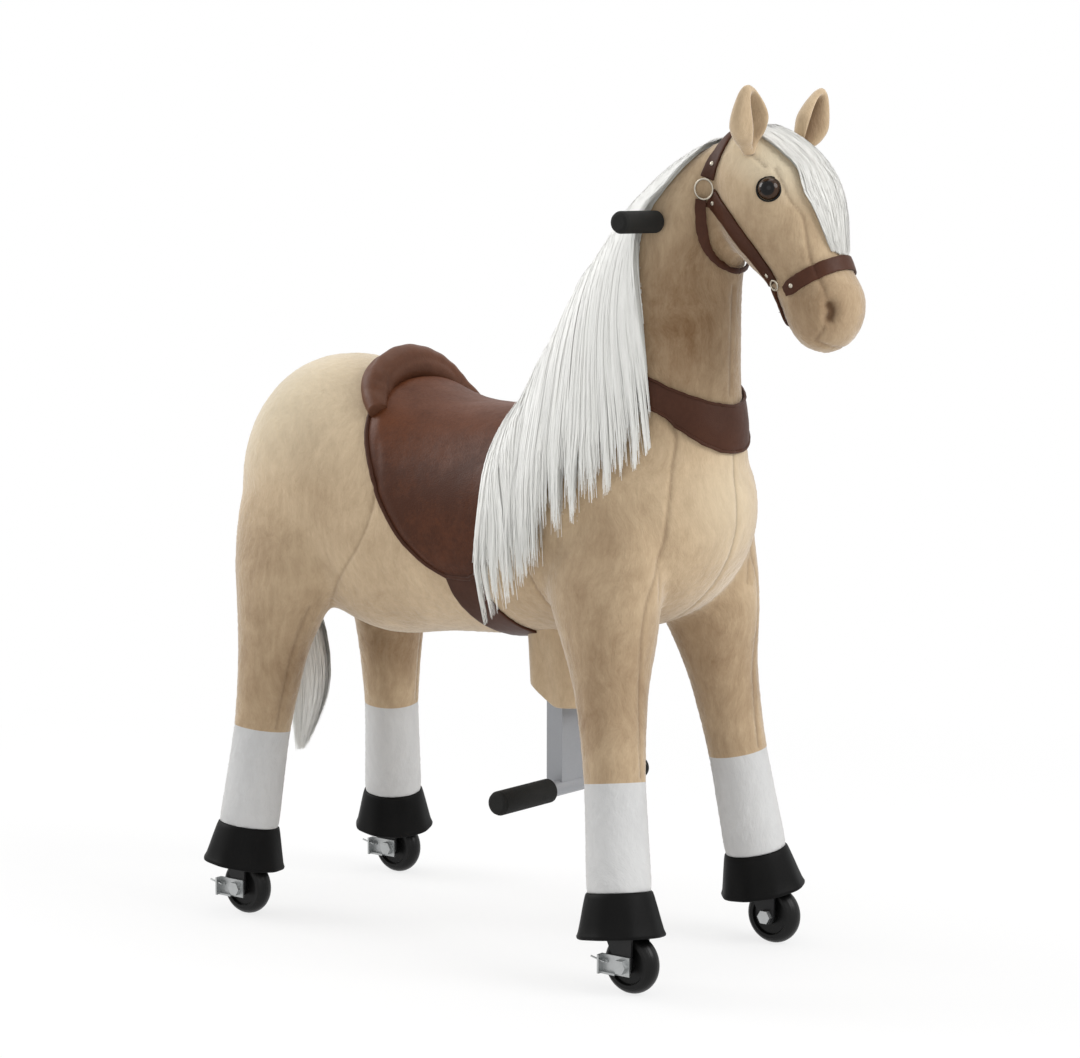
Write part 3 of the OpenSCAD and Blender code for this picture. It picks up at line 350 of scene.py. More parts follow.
class NodeSheet:
    """Lays nodes into one node tree."""

    def __init__(self, tree: bpy.types.NodeTree) -> None:
        """Takes the tree to fill."""
        self.tree = tree

    def add(self, kind: str, inputs: dict | None = None, **values: object) -> bpy.types.Node:
        """Adds a node.

        Args:
            kind: type of the node.
            inputs: socket name or number to a value, or to a socket that feeds it.
            values: plain properties of the node.

        Returns:
            The node.
        """
        made = self.tree.nodes.new(kind)
        for name, value in values.items():
            setattr(made, name, value)
        for name, value in (inputs or {}).items():
            if isinstance(value, Socket):
                self.tree.links.new(value, made.inputs[name])
            else:
                made.inputs[name].default_value = value
        return made

    def link(self, source: Socket, target: Socket) -> None:
        """Feeds one socket from another."""
        self.tree.links.new(source, target)

    def where(self) -> Socket:
        """Gives the place on the piece."""
        return self.add("ShaderNodeTexCoord").outputs["Object"]

    def read(self, name: str) -> Socket:
        """Gives a value that the mesh carries at its points."""
        return self.add("ShaderNodeAttribute", attribute_name=name).outputs["Fac"]

    def bump(self, shader: bpy.types.Node, height: Socket, strength: float, distance: float) -> None:
        """Gives a shader a relief."""
        made = self.add("ShaderNodeBump", {"Height": height, "Strength": strength, "Distance": distance})
        self.link(made.outputs[0], shader.inputs["Normal"])

    def math(self, operation: str, a: object, b: object = 0.0, c: object = 0.0) -> Socket:
        """Adds a Math node and gives its result."""
        return self.add("ShaderNodeMath", {0: a, 1: b, 2: c}, operation=operation).outputs[0]

    def mix(self, share: object, a: object, b: object, blend: str = "MIX") -> Socket:
        """Mixes two colours and gives the result."""
        return self.add("ShaderNodeMix", {0: share, 6: a, 7: b}, data_type="RGBA", blend_type=blend,
                        clamp_factor=True).outputs[2]

    def span(self, value: object, low: float, high: float, to_low: float, to_high: float) -> Socket:
        """Maps one range of values to another."""
        return self.add("ShaderNodeMapRange", {0: value, 1: low, 2: high, 3: to_low, 4: to_high}).outputs[0]

    def noise(self, where: object, scale: float, detail: float = 3.0, rough: float = 0.5) -> Socket:
        """Adds a noise texture and gives its value."""
        return self.add("ShaderNodeTexNoise", {"Vector": where, "Scale": scale, "Detail": detail,
                                               "Roughness": rough}).outputs[0]


def rgba(r: float, g: float, b: float) -> tuple[float, float, float, float]:
    """Gives an opaque colour."""
    return (r, g, b, 1.0)


def effect_group(name: str, defaults: dict[str, object],
                 fill: Callable[[NodeSheet, bpy.types.NodeOutputs], dict[str, Socket]]) -> bpy.types.NodeTree:
    """Makes a shader node group once.

    Args:
        name: name of the group.
        defaults: input name to its default, a colour or a number.
        fill: lays the nodes from the group's inputs and gives its outputs.

    Returns:
        The group.
    """
    if name in bpy.data.node_groups:
        return bpy.data.node_groups[name]
    tree = bpy.data.node_groups.new(name, "ShaderNodeTree")
    for socket, value in defaults.items():
        kind = "NodeSocketFloat" if isinstance(value, float) else "NodeSocketColor"
        tree.interface.new_socket(socket, in_out="INPUT", socket_type=kind).default_value = value
    s = NodeSheet(tree)
    made = fill(s, s.add("NodeGroupInput").outputs)
    for socket in made:
        kind = "NodeSocketColor" if socket == "Color" else "NodeSocketFloat"
        tree.interface.new_socket(socket, in_out="OUTPUT", socket_type=kind)
    s.add("NodeGroupOutput", made)
    return tree


def pile_group() -> bpy.types.NodeTree:
    """Short plush pile: random patches of lighter and darker brushed pile and fine tufts, with the painted
    shade and painted light that the mesh carries and painted shade in the seam creases.
    """
    def fill(s: NodeSheet, given: bpy.types.NodeOutputs) -> dict[str, Socket]:
        """Lays the nodes and gives the outputs."""
        where = s.where()
        warp = s.add("ShaderNodeTexNoise", {"Vector": where, "Scale": 9.0, "Detail": 2.0}).outputs["Color"]
        bent = s.add("ShaderNodeVectorMath", {0: where, 1: s.add("ShaderNodeVectorMath", {
            0: warp, 1: (0.06, 0.06, 0.06)}, operation="MULTIPLY").outputs[0]}, operation="ADD").outputs[0]
        combed = s.add("ShaderNodeMapping", {"Vector": bent, "Scale": (1.0, 1.0, 0.35)}).outputs[0]
        patches = s.span(s.noise(bent, 13.0, 4.0, 0.62), 0.34, 0.68, 0.0, 1.0)
        streaks = s.span(s.noise(combed, 120.0, 3.0, 0.6), 0.3, 0.7, 0.0, 1.0)
        tufts = s.noise(combed, 620.0, 2.0, 0.65)
        blend = s.math("ADD", s.math("MULTIPLY_ADD", patches, 0.2, 0.42),
                       s.math("ADD", s.math("MULTIPLY", streaks, 0.15), s.math("MULTIPLY", tufts, 0.18)))
        # Painted shade (positive) and painted light (negative) that the mesh carries: darker towards the Dark
        # colour, lighter towards the cream Painted Light colour.
        nap = s.read("nap")
        painted_shade = s.mix(s.math("SUBTRACT", blend, nap), given["Dark"], given["Light"])
        painted_light = s.math("MAXIMUM", s.math("MULTIPLY", nap, -2.4), 0.0)
        colour = s.mix(painted_light, painted_shade, given["Pale"])
        # Painted shade in the seam creases, the nostril pit and the ear hollows.
        seam = s.read("seam")
        return {"Color": s.mix(s.math("MULTIPLY", seam, 0.95), colour, given["Seam"]),
                "Height": s.math("ADD", s.math("MULTIPLY", tufts, 0.8), s.math("MULTIPLY", streaks, 0.55))}
    # Painted Light is the cream of the painted light; Crease Shade is the colour of the painted shade in
    # creases.
    return effect_group("plush_pile", {
        "Light": rgba(0.7, 0.5, 0.35), "Dark": rgba(0.5, 0.35, 0.22), "Pale": rgba(0.74, 0.68, 0.52),
        "Seam": rgba(0.2, 0.12, 0.07)}, fill)


def grain_group() -> bpy.types.NodeTree:
    """Soft leather: pebbled grain, rubbed patches and fine creases, with the painted shade that the mesh
    carries.
    """
    def fill(s: NodeSheet, given: bpy.types.NodeOutputs) -> dict[str, Socket]:
        """Lays the nodes and gives the outputs."""
        where = s.where()
        cells = s.add("ShaderNodeTexVoronoi", {"Vector": where, "Scale": given["Grain"]},
                      feature="SMOOTH_F1").outputs["Distance"]
        cloud = s.span(s.noise(where, 14.0, 4.0, 0.6), 0.32, 0.7, 0.0, 1.0)
        fine = s.noise(where, 260.0, 3.0, 0.6)
        crease = s.noise(s.add("ShaderNodeMapping", {"Vector": where, "Scale": (1.0, 0.25, 1.0)}).outputs[0],
                         46.0, 5.0, 0.7)
        # Painted shade that the mesh carries: on the seat, darker towards the bottom.
        nap = s.read("nap")
        share = s.math("ADD", s.math("MULTIPLY", cloud, 0.5),
                       s.math("SUBTRACT", s.math("MULTIPLY", fine, 0.45), nap))
        return {"Color": s.mix(share, given["Dark"], given["Light"]),
                "Roughness": s.span(s.math("ADD", cloud, fine), 0.3, 1.5, 0.58, 0.42),
                "Height": s.math("ADD", s.math("MULTIPLY", cells, 0.7), s.math("MULTIPLY", crease, 0.8))}
    return effect_group("leather_grain", {
        "Light": rgba(0.2, 0.09, 0.05), "Dark": rgba(0.1, 0.04, 0.02), "Grain": 700.0}, fill)


def speckle_group() -> bpy.types.NodeTree:
    """Moulded or painted surface: fine speckle, faint dust and uneven gloss."""
    def fill(s: NodeSheet, given: bpy.types.NodeOutputs) -> dict[str, Socket]:
        """Lays the nodes and gives the outputs."""
        where = s.where()
        fine = s.noise(where, given["Grain"], 2.0, 0.6)
        dust = s.span(s.noise(where, 26.0, 5.0, 0.65), 0.45, 0.75, 0.0, 1.0)
        colour = s.mix(s.math("MULTIPLY", dust, given["Dust"]), given["Color"], given["Dust Color"])
        rough = s.math("ADD", given["Roughness"], s.math("MULTIPLY", s.math("ADD", dust, fine), 0.08))
        return {"Color": s.mix(s.math("MULTIPLY", fine, 0.3), colour, given["Dust Color"], "SOFT_LIGHT"),
                "Roughness": rough, "Height": fine}
    return effect_group("moulded_speckle", {
        "Color": rgba(0.02, 0.02, 0.02), "Dust Color": rgba(0.2, 0.2, 0.2), "Dust": 0.1, "Roughness": 0.4,
        "Grain": 600.0}, fill)


def new_material(name: str) -> tuple[bpy.types.Material, NodeSheet, bpy.types.Node]:
    """Makes an empty node material and gives it, its sheet and its main shader."""
    material = bpy.data.materials.new(name)
    material.use_nodes = True
    return material, NodeSheet(material.node_tree), material.node_tree.nodes["Principled BSDF"]


def grouped(name: str, group: bpy.types.NodeTree, looks: dict[str, object], bump: float, depth: float,
            constants: dict[str, object]) -> bpy.types.Material:
    """Builds a material around a shared effect.

    Args:
        name: name of the material.
        group: the effect.
        looks: values of the effect's inputs.
        bump: strength of the relief.
        depth: depth of the relief in metres.
        constants: values of the shader's own inputs.

    Returns:
        The material.
    """
    material, s, shader = new_material(name)
    effect = s.add("ShaderNodeGroup", node_tree=group)
    for socket, value in looks.items():
        effect.inputs[socket].default_value = value
    for made, used in (("Color", "Base Color"), ("Roughness", "Roughness")):
        if made in effect.outputs:
            s.link(effect.outputs[made], shader.inputs[used])
    s.bump(shader, effect.outputs["Height"], bump, depth)
    for socket, value in constants.items():
        shader.inputs[socket].default_value = value
    return material


@dataclass(frozen=True)
class PlushFinish:
    """Short plush of one colour."""

    name: str
    light: Colour
    dark: Colour
    # Colour of the painted shade in seam creases, the nostril pit and the ear hollows.
    seam: Colour
    sheen: float = 0.35
    bump: float = 0.35

    def material(self) -> bpy.types.Material:
        """Builds the material."""
        return grouped(self.name, pile_group(), {
            "Light": rgba(*self.light), "Dark": rgba(*self.dark), "Seam": rgba(*self.seam)}, self.bump,
            0.0022, {
            "Roughness": 0.92, "Specular IOR Level": 0.15, "Sheen Weight": self.sheen, "Sheen Roughness": 0.4,
            "Sheen Tint": rgba(1.0, 0.95, 0.88)})


@dataclass(frozen=True)
class LeatherFinish:
    """Soft grained leather."""

    name: str
    light: Colour
    dark: Colour
    grain: float = 700.0
    bump: float = 0.22

    def material(self) -> bpy.types.Material:
        """Builds the material."""
        return grouped(self.name, grain_group(), {
            "Grain": self.grain, "Light": rgba(*self.light), "Dark": rgba(*self.dark)}, self.bump, 0.0012, {
            "Specular IOR Level": 0.16})


@dataclass(frozen=True)
class HardFinish:
    """Moulded plastic, rubber, foam, paint, wood or metal."""

    name: str
    colour: Colour
    roughness: float
    metallic: float = 0.0
    dust: float = 0.08
    dust_colour: Colour = (0.25, 0.24, 0.23)
    grain: float = 700.0
    bump: float = 0.08
    depth: float = 0.0006
    specular: float = 0.3

    def material(self) -> bpy.types.Material:
        """Builds the material."""
        return grouped(self.name, speckle_group(), {
            "Dust": self.dust, "Roughness": self.roughness, "Grain": self.grain, "Color": rgba(*self.colour),
            "Dust Color": rgba(*self.dust_colour)}, self.bump, self.depth, {
            "Metallic": self.metallic, "Specular IOR Level": self.specular})


@dataclass(frozen=True)
class HairFinish:
    """Long white hair; each strand has its own tint."""

    name: str
    light: Colour
    dark: Colour

    def material(self) -> bpy.types.Material:
        """Builds the material."""
        material, s, shader = new_material(self.name)
        tint = s.read("tint")
        where = s.where()
        fine = s.noise(s.add("ShaderNodeMapping", {"Vector": where, "Scale": (1.0, 1.0, 0.04)}).outputs[0],
                       900.0, 2.0, 0.6)
        share = s.math("ADD", s.math("MULTIPLY", tint, 0.7), s.math("MULTIPLY", fine, 0.35))
        s.link(s.mix(share, rgba(*self.dark), rgba(*self.light)), shader.inputs["Base Color"])
        s.bump(shader, fine, 0.12, 0.0008)
        shader.inputs["Roughness"].default_value = 0.5
        shader.inputs["Specular IOR Level"].default_value = 0.35
        shader.inputs["Sheen Weight"].default_value = 0.3
        return material


@dataclass(frozen=True)
class EyeFinish:
    """Glossy eye: black pupil, brown iris and a dark rim."""

    name: str = "eye_gloss"
    pupil: Colour = (0.004, 0.003, 0.003)
    iris: Colour = (0.06, 0.03, 0.015)

    def material(self) -> bpy.types.Material:
        """Builds the material."""
        material, s, shader = new_material(self.name)
        out = s.read("rim")
        where = s.where()
        rays = s.noise(where, 900.0, 2.0)
        iris = s.mix(s.math("MULTIPLY", rays, 0.6), rgba(*self.iris), rgba(*self.pupil))
        inner = s.mix(s.span(out, 0.56, 0.66, 0.0, 1.0), rgba(*self.pupil), iris)
        s.link(s.mix(s.span(out, 0.86, 0.97, 0.0, 1.0), inner, rgba(*self.pupil)),
               shader.inputs["Base Color"])
        shader.inputs["Roughness"].default_value = 0.08
        shader.inputs["Specular IOR Level"].default_value = 0.22
        return material


# Plush colours: light, dark, and painted crease shade; the tan's dark tone also carries the painted shade of
# neck, legs and muzzle.
TAN_PLUSH = PlushFinish("tan_plush", (0.70, 0.545, 0.362), (0.155, 0.077, 0.029), (0.12, 0.066, 0.034), 0.72)
WHITE_PLUSH = PlushFinish("white_plush", (0.69, 0.69, 0.685), (0.45, 0.45, 0.45), (0.36, 0.345, 0.33), 0.2,
                          0.3)
SADDLE_LEATHER = LeatherFinish("saddle_leather", (0.172, 0.053, 0.0185), (0.055, 0.0165, 0.0063))
ROLL_LEATHER = LeatherFinish("roll_leather", (0.15, 0.058, 0.029), (0.066, 0.026, 0.0135))
STRAP_LEATHER = LeatherFinish("strap_leather", (0.080, 0.028, 0.0135), (0.038, 0.013, 0.0065), 1100.0, 0.16)
WHITE_HAIR = HairFinish("white_hair", (0.95, 0.95, 0.915), (0.58, 0.57, 0.535))
EYE_GLOSS = EyeFinish()
HOOF_PLASTIC = HardFinish("hoof_plastic", (0.004, 0.004, 0.004), 0.46, dust=0.01, grain=420.0, bump=0.12,
                          specular=0.08)
WHEEL_RUBBER = HardFinish("wheel_rubber", (0.004, 0.004, 0.004), 0.30, dust=0.02, grain=900.0, bump=0.05,
                          specular=0.2)
FORK_PAINT = HardFinish("fork_paint", (0.007, 0.007, 0.0075), 0.36, dust=0.03, grain=800.0, bump=0.06)
FOAM = HardFinish("grip_foam", (0.012, 0.012, 0.011), 0.72, dust=0.04, grain=1500.0, bump=0.5, depth=0.0009,
                  specular=0.2)
PEDAL_PAINT = HardFinish("pedal_paint", (0.36, 0.37, 0.39), 0.34, 0.35, grain=500.0, bump=0.04)
ZINC_PLATE = HardFinish("zinc_plate", (0.46, 0.47, 0.47), 0.34, 1.0, dust=0.35,
                        dust_colour=(0.24, 0.25, 0.25), grain=300.0, bump=0.05)
HALTER_METAL = HardFinish("halter_nickel", (0.46, 0.42, 0.35), 0.32, 1.0, dust=0.1, grain=300.0, bump=0.05)
FRAME_PAINT = HardFinish("frame_paint", (0.05, 0.05, 0.052), 0.45, grain=500.0)
BOARD_WOOD = HardFinish("board_wood", (0.35, 0.22, 0.11), 0.6, dust=0.5, dust_colour=(0.25, 0.14, 0.06),
                        grain=150.0)
BUSH_PLASTIC = HardFinish("bush_plastic", (0.68, 0.66, 0.6), 0.5)
Finish = PlushFinish | LeatherFinish | HardFinish | HairFinish | EyeFinish


class Wardrobe:
    """Keeps each finish's material, made once."""

    def __init__(self) -> None:
        """Starts empty."""
        self.made: dict[str, bpy.types.Material] = {}

    def dress(self, obj: Piece, finish: Finish) -> Piece:
        """Gives a piece or CAD node one finish."""
        if finish.name not in self.made:
            self.made[finish.name] = finish.material()
        obj.data.materials.clear()
        obj.data.materials.append(self.made[finish.name])
        return obj


WARDROBE = Wardrobe()


@dataclass
class Groove:
    """A sewn line pressed into the plush and darkened with painted crease shade."""

    points: list[Place]
    depth: float = 1.7
    width: float = 3.2
    shade: float = 1.0
    pinned: bool = True

    def line(self, skin: Skin, step: float = 0.0012) -> list[Vector]:
        """Gives closely spaced points of the line on the skin."""
        rows = smooth_rows(self.points, 6)
        found = [skin.nearest(at(*r)) for r in rows]
        out = []
        for a, b in zip(found, found[1:]):
            n = max(1, int((b - a).length / step))
            out += [skin.nearest(a.lerp(b, k / n)) for k in range(n)]
        return out + [found[-1]]

    def mirrored(self) -> "Groove":
        """Gives the same line on the other side."""
        return Groove([(x, -y, z) for x, y, z in self.points], self.depth, self.width, self.shade,
                      self.pinned)


@dataclass
class Bend:
    """Two bodies and the start and end points of a soft piece between them."""

    low: str
    high: str
    start: Vector
    end: Vector

    def apply(self, obj: Piece) -> None:
        """Bakes the piece's placement into its mesh; the piece is not bent and rides on no body."""
        tuple(self.start)
        tuple(self.end)
        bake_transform(obj)


NECK_FOOT = at(225.0, 0.0, 60.0)
NECK_LEAN = math.radians(38.0)
NECK_TURN = Bend("chassis", "steering", NECK_FOOT,
                 NECK_FOOT + Vector((math.sin(NECK_LEAN), 0.0, math.cos(NECK_LEAN))) * 78.0 / 1000)


def furnish(obj: Piece, finish: Finish, slot: Slot, hold: str | Bend, nodes: Sequence[str] = ()) -> None:
    """Dresses a piece, ties it to a body unless it is given a Bend, and hides the CAD nodes that it stands
    for.

    Args:
        obj: the piece.
        finish: its finish.
        slot: its material slot; not used.
        hold: body that it rides on, or a Bend, which only bakes the piece's placement into its mesh.
        nodes: CAD nodes that it stands for.
    """
    WARDROBE.dress(obj, finish)
    if isinstance(hold, Bend):
        hold.apply(obj)
    else:
        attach(obj, hold)
    if nodes:
        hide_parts(*nodes)
    LOG.info("%s %d faces", obj.name, len(obj.data.polygons))


@dataclass
class LegLine:
    """One leg: where its line starts at hinge height and how it leans, in millimetres and degrees."""

    side: Side
    front: bool
    start_x: float
    rake: float
    rows: list[Row]
    start_y: float = 78.0
    splay: float = 6.9
    drop: float = 387.0

    @property
    def turn(self) -> Matrix:
        """Gives the rotation of the leg's own frame."""
        lean = -self.rake if self.front else self.rake
        return turned(lean, "Y") @ turned(self.side.value * self.splay, "X")

    @property
    def length(self) -> float:
        """Gives the length of the leg line from hinge height to hoof rim."""
        return self.drop / (math.cos(math.radians(self.splay)) * math.cos(math.radians(self.rake)))

    def point(self, x: float, y: float, down: float) -> Vector:
        """Gives a point of the leg's own frame, down the leg, in the row frame."""
        return at(self.start_x, self.side.value * self.start_y, 0) + self.turn @ Vector((x, y, -down)) / 1000

    def station(self, row: Row, grow: float) -> Station:
        """Gives a loft section for a row of distance, shift, half depth and half width."""
        down, shift, depth, width = row
        return Station(self.point(shift, 0, down), self.turn @ mm(depth + grow, 0, 0),
                       self.turn @ mm(0, width + grow, 0))

    def line_on(self, angle: float, low: float, high: float) -> list[Place]:
        """Gives points of a seam that runs down the leg at an angle from its front, outwards."""
        out = []
        rows = smooth_rows(self.rows, 4)
        for k in range(9):
            down = low + (high - low) * k / 8
            r = min(rows, key=lambda row: abs(row[0] - down))
            a = math.radians(angle)
            p = self.point(r[1] + r[2] * math.cos(a), self.side.value * r[3] * math.sin(a), down)
            out.append((p.x * 1000 + ORIGIN_X, p.y * 1000, p.z * 1000 - HINGE_Z))
        return out


SOCK_H = 106.0
HOOF_H = 45.0


def leg_lines() -> list[LegLine]:
    """Gives the four legs with their stuffed shapes, socks included."""
    front = [[-50, -8, 66, 30], [0, -6, 72, 40], [60, -3, 64, 45], [108, 0, 51, 43], [150, 0, 40, 38],
             [195, 0, 35, 34.5], [242, 0, 32.5, 32.5], [290, 0, 33, 33], [345, 0, 34.2, 34.2],
             [356, 0, 33, 33]]
    rear = [[-60, 6, 70, 30], [0, 8, 78, 42], [60, 6, 70, 47], [108, 3, 54, 45], [150, 0, 42, 39],
            [195, 0, 36, 35], [240, 0, 32.5, 32.5], [290, 0, 33, 33], [343, 0, 34.2, 34.2], [354, 0, 33, 33]]
    return ([LegLine(s, True, 186.5, 8.2, front) for s in Side]
            + [LegLine(s, False, -233.0, 4.9, rear) for s in Side])


@dataclass
class PlushHorse:
    """Stuffed body with neck, head, legs and socks, sewn from one skin."""

    torso_rows: Rows = (
        (-319, 18, -24, 22), (-313, 66, -52, 62), (-293, 122, -78, 94), (-252, 158, -98, 116),
        (-200, 165, -117, 121), (-138, 144, -136, 117), (-60, 116, -127, 113), (20, 111, -122, 113),
        (100, 121, -114, 117), (172, 126, -104, 117), (220, 118, -88, 104), (258, 100, -58, 80),
        (282, 70, -22, 50), (291, 40, 8, 20))
    neck_rows: Rows = (
        (50, 186, 104, 94), (100, 190, 97, 82), (145, 193, 90, 74), (195, 200, 84, 67), (250, 209, 77, 61),
        (300, 224, 72, 57), (338, 250, 60, 52), (366, 272, 44, 45), (386, 288, 24, 28))
    head_rows: Rows = (
        (-3, -5, 16, 25), (12, -7, 34, 43), (40, -8, 54, 52), (75, -5, 62, 57), (110, -2, 57, 50.5),
        (140, 0, 45.5, 42), (165, 1.5, 40.5, 39), (192, 3, 42, 40), (214, 0.5, 34.5, 34.5), (228, -1, 20, 20),
        (233, -1, 6, 7))
    face_lean: float = 26.2
    poll: Place = (304.0, 0.0, 398.0)
    voxel: float = 0.005
    slack: float = -1.5
    pile: float = 0.45
    # Painted shading spots, columns x, y, z, reach and strength: positive strengths paint shade where it
    # falls on neck, shoulder, thigh, cheek, muzzle and legs, together with darker brushed pile; negative
    # strengths paint light on rump, chest and forehead.
    painted_shading_spots: Rows = (
        (250, -50, 230, 95, 0.38), (264, -40, 165, 80, 0.18), (185, -115, 0, 90, 0.16),
        (-235, -120, -40, 100, 0.12),
        (325, -52, 305, 52, 0.26), (396, -34, 218, 45, 0.36), (186, -105, -165, 95, 0.36),
        (-245, -110, -160, 90, 0.18), (-215, -70, -170, 60, 0.2),
        (-275, -50, 120, 125, -0.25), (285, 0, 60, 90, -0.14), (352, -40, 372, 55, -0.3))
    leg_cut: float = -135.0
    leg_free: float = -226.0
    leg_reach: float = 0.2
    pressure: float = 3.0
    frames: int = 14
    swell: float = 0.0035
    held: tuple[float, float] = (0.014, 0.003)
    seam_reach: float = 0.015
    seam_shade: float = 0.42
    pile_scale: float = 260.0
    legs: list[LegLine] = field(default_factory=leg_lines)

    def face_point(self, down: float, out: float, y: float) -> Vector:
        """Gives a point by its distance down the face, out from its middle line and to the side."""
        a = math.radians(self.face_lean)
        x, _, z = self.poll
        return at(x + down * math.sin(a) + out * math.cos(a), y, z - down * math.cos(a) + out * math.sin(a))

    @property
    def face_out(self) -> Vector:
        """Gives the direction out of the face."""
        a = math.radians(self.face_lean)
        return Vector((math.cos(a), 0.0, math.sin(a)))

    def shell(self) -> Piece:
        """Lofts body, neck, head and legs and melts them into one skin."""
        g = self.slack
        bm = bmesh.new()
        loft(bm, [Station(at(x, 0, (top + low) / 2), mm(0, half + g, 0), mm(0, 0, (top - low) / 2 + g), 0.9)
                  for x, top, low, half in smooth_rows(self.torso_rows, 3)], 48)
        loft(bm, [Station(at(mid, 0, z), mm(depth + g, 0, 0), mm(0, half + g, 0))
                  for z, mid, depth, half in smooth_rows(self.neck_rows, 3)], 48)
        loft(bm, [Station(self.face_point(down, shift, 0), self.face_out * ((depth + g) / 1000),
                          mm(0, half + g, 0))
                  for down, shift, depth, half in smooth_rows(self.head_rows, 3)], 40)
        for leg in self.legs:
            loft(bm, [leg.station(r, g) for r in smooth_rows(leg.rows, 3)], 36)
        obj = piece_from(bm, "plush_shell")
        modified(obj, "REMESH", mode="VOXEL", voxel_size=self.voxel, use_smooth_shade=True)
        return modified(obj, "SMOOTH", factor=0.5, iterations=12)

    def grooves(self) -> list[Groove]:
        """Lists the sewn lines of the plush and the nostril pit, each with its painted crease shade."""
        one_side = [
            Groove([(-96, -96, 84), (-84.8, -105, 51.7), (-88.6, -112, 20.8), (-97, -113.6, -5.8),
                    (-115, -111, -34), (-151, -94.6, -70), (-184, -73.8, -102)], 1.5, 2.8, 0.7),
            Groove([(246, -62, 125), (257, -58, 104), (258.7, -67, 67), (260.5, -77, 22), (258.4, -78, 2),
                    (253.8, -84, -31), (252, -96, -57.5), (249.5, -102, -94), (247, -100, -134),
                    (248, -100, -174), (252, -103, -230)], 1.5, 2.8),
            Groove([(255, -80, -25), (261, -76, -42), (262, -74, -58)], 1.2, 2.4, 0.8),
            Groove([(361.5, -46.6, 366.5), (374.4, -45.1, 338.3), (382.6, -40.2, 325.1),
                    (388.8, -35.7, 312.9),
                    (393.9, -32.3, 275.1), (406, -29.7, 249.8), (411.6, -29.6, 237.6), (413.5, -30.5, 226.4),
                    (409.3, -32.3, 209.3), (397.5, -29.3, 196.5)], 1.4, 2.6),
            Groove([(330, -46, 379), (340, -47, 373), (350, -48, 366)], 1.2, 2.4),
            # Nostril: a deep pit, not held in the stuffing, with strong painted shade.
            Groove([(413.5, -29.5, 233), (416, -28.3, 227), (414.5, -30, 219.5)], 7.5, 6.2, 4.3, False)]
        for leg in self.legs:
            if leg.side is Side.RIGHT:
                if not leg.front:
                    one_side.append(Groove(leg.line_on(18, 100, 236), 1.3, 2.6))
                one_side.append(Groove(leg.line_on(178, 20, 236), 1.3, 2.6))
        middle = [
            Groove([(292, 0, 84), (291, 0, 24), (282, 0, -22), (258, 0, -58), (220, 0, -88), (100, 0, -114),
                    (-60, 0, -126), (-200, 0, -110), (-293, 0, -78), (-319, 0, 0), (-300, 0, 100),
                    (-252, 0, 158), (-200, 0, 165)], 1.4, 3.0),
            Groove([(289, 0, 140), (288, 0, 195), (287, 0, 246)], 1.3, 2.8),
            Groove([(397.5, -29.3, 196.5), (407, -16, 188), (410, 0, 185), (407, 16, 188),
                    (397.5, 29.3, 196.5)],
                   1.4, 2.8)]
        return one_side + [g.mirrored() for g in one_side] + middle

    def stuff(self, obj: Piece, lines: Sequence[tuple[Groove, list[Vector]]]) -> None:
        """Fills the skin by cloth simulation, held at its seams."""
        near = tree_of([point for groove, line in lines if groove.pinned for point in line])
        pins = obj.vertex_groups.new(name="sewn")
        for v in obj.data.vertices:
            pins.add([v.index], ramp(*self.held, near.find(v.co)[2]), "REPLACE")
        inflate(obj, "sewn", self.pressure, self.frames, self.swell)
        obj.vertex_groups.clear()

    def carve(self, obj: Piece, lines: Sequence[tuple[Groove, list[Vector]]]) -> None:
        """Presses the seams into the skin and marks their painted crease shade, and the pile's painted shade
        and light, for the material.
        """
        mesh = obj.data
        count = len(mesh.vertices)
        places = np.empty(count * 3)
        mesh.vertices.foreach_get("co", places)
        places = places.reshape(-1, 3)
        outs = np.array([v.normal for v in mesh.vertices])
        shade = np.zeros(count, np.float32)
        depth = np.zeros(count)
        for groove, line in lines:
            tree = tree_of(line)
            corners = np.array(line)
            near = np.all((places > corners.min(0) - self.seam_reach)
                          & (places < corners.max(0) + self.seam_reach),
                          axis=1)
            for i in np.nonzero(near)[0]:
                d = tree.find(places[i])[2] * 1000
                depth[i] = max(depth[i], groove.depth * math.exp(-(d / groove.width) ** 2))
                # Painted crease shade, strongest on the line.
                dark = self.seam_shade * groove.shade * math.exp(-(d / (0.62 * groove.width)) ** 2)
                shade[i] = max(shade[i], dark)
        pile = np.array([noise.noise(Vector(p) * self.pile_scale)
                         + 0.6 * noise.noise(Vector(p) * (2 * self.pile_scale)) for p in places])
        places += outs * ((self.pile * pile - depth) / 1000)[:, None]
        mesh.vertices.foreach_set("co", places.ravel())
        mesh.update()
        # Painted crease shade, then the pile's painted shade and painted light.
        mark(obj, "seam", np.minimum(shade, 1.0))
        mark(obj, "nap", self.painted_shade(places))

    def painted_shade(self, places: np.ndarray) -> np.ndarray:
        """Gives the painted shade at each point, alike on both sides; negative values are painted light."""
        nap = np.zeros(len(places), np.float32)
        for x, y, z, reach, dark in self.painted_shading_spots:
            middle = np.array(at(x, y, z))
            both = np.stack([places[:, 0], -np.abs(places[:, 1]), places[:, 2]], axis=1)
            nap += dark * np.exp(-((both - middle) ** 2).sum(1) / (reach / 1000) ** 2).astype(np.float32)
        return nap

    def build(self) -> "Skin":
        """Makes the skin, sews and cuts it into its pieces, and dresses them.

        Returns:
            The whole surface, for what lies on it.
        """
        whole = self.shell()
        skin = Skin(whole)
        grooves = self.grooves()
        lines = [(g, g.line(skin)) for g in grooves]
        self.stuff(whole, lines)
        modified(whole, "SUBSURF", levels=1, render_levels=1)
        skin = Skin(whole)
        lines = [(g, g.line(skin)) for g in grooves]
        self.carve(whole, lines)
        skin = Skin(whole)
        self.cut(whole)
        return skin

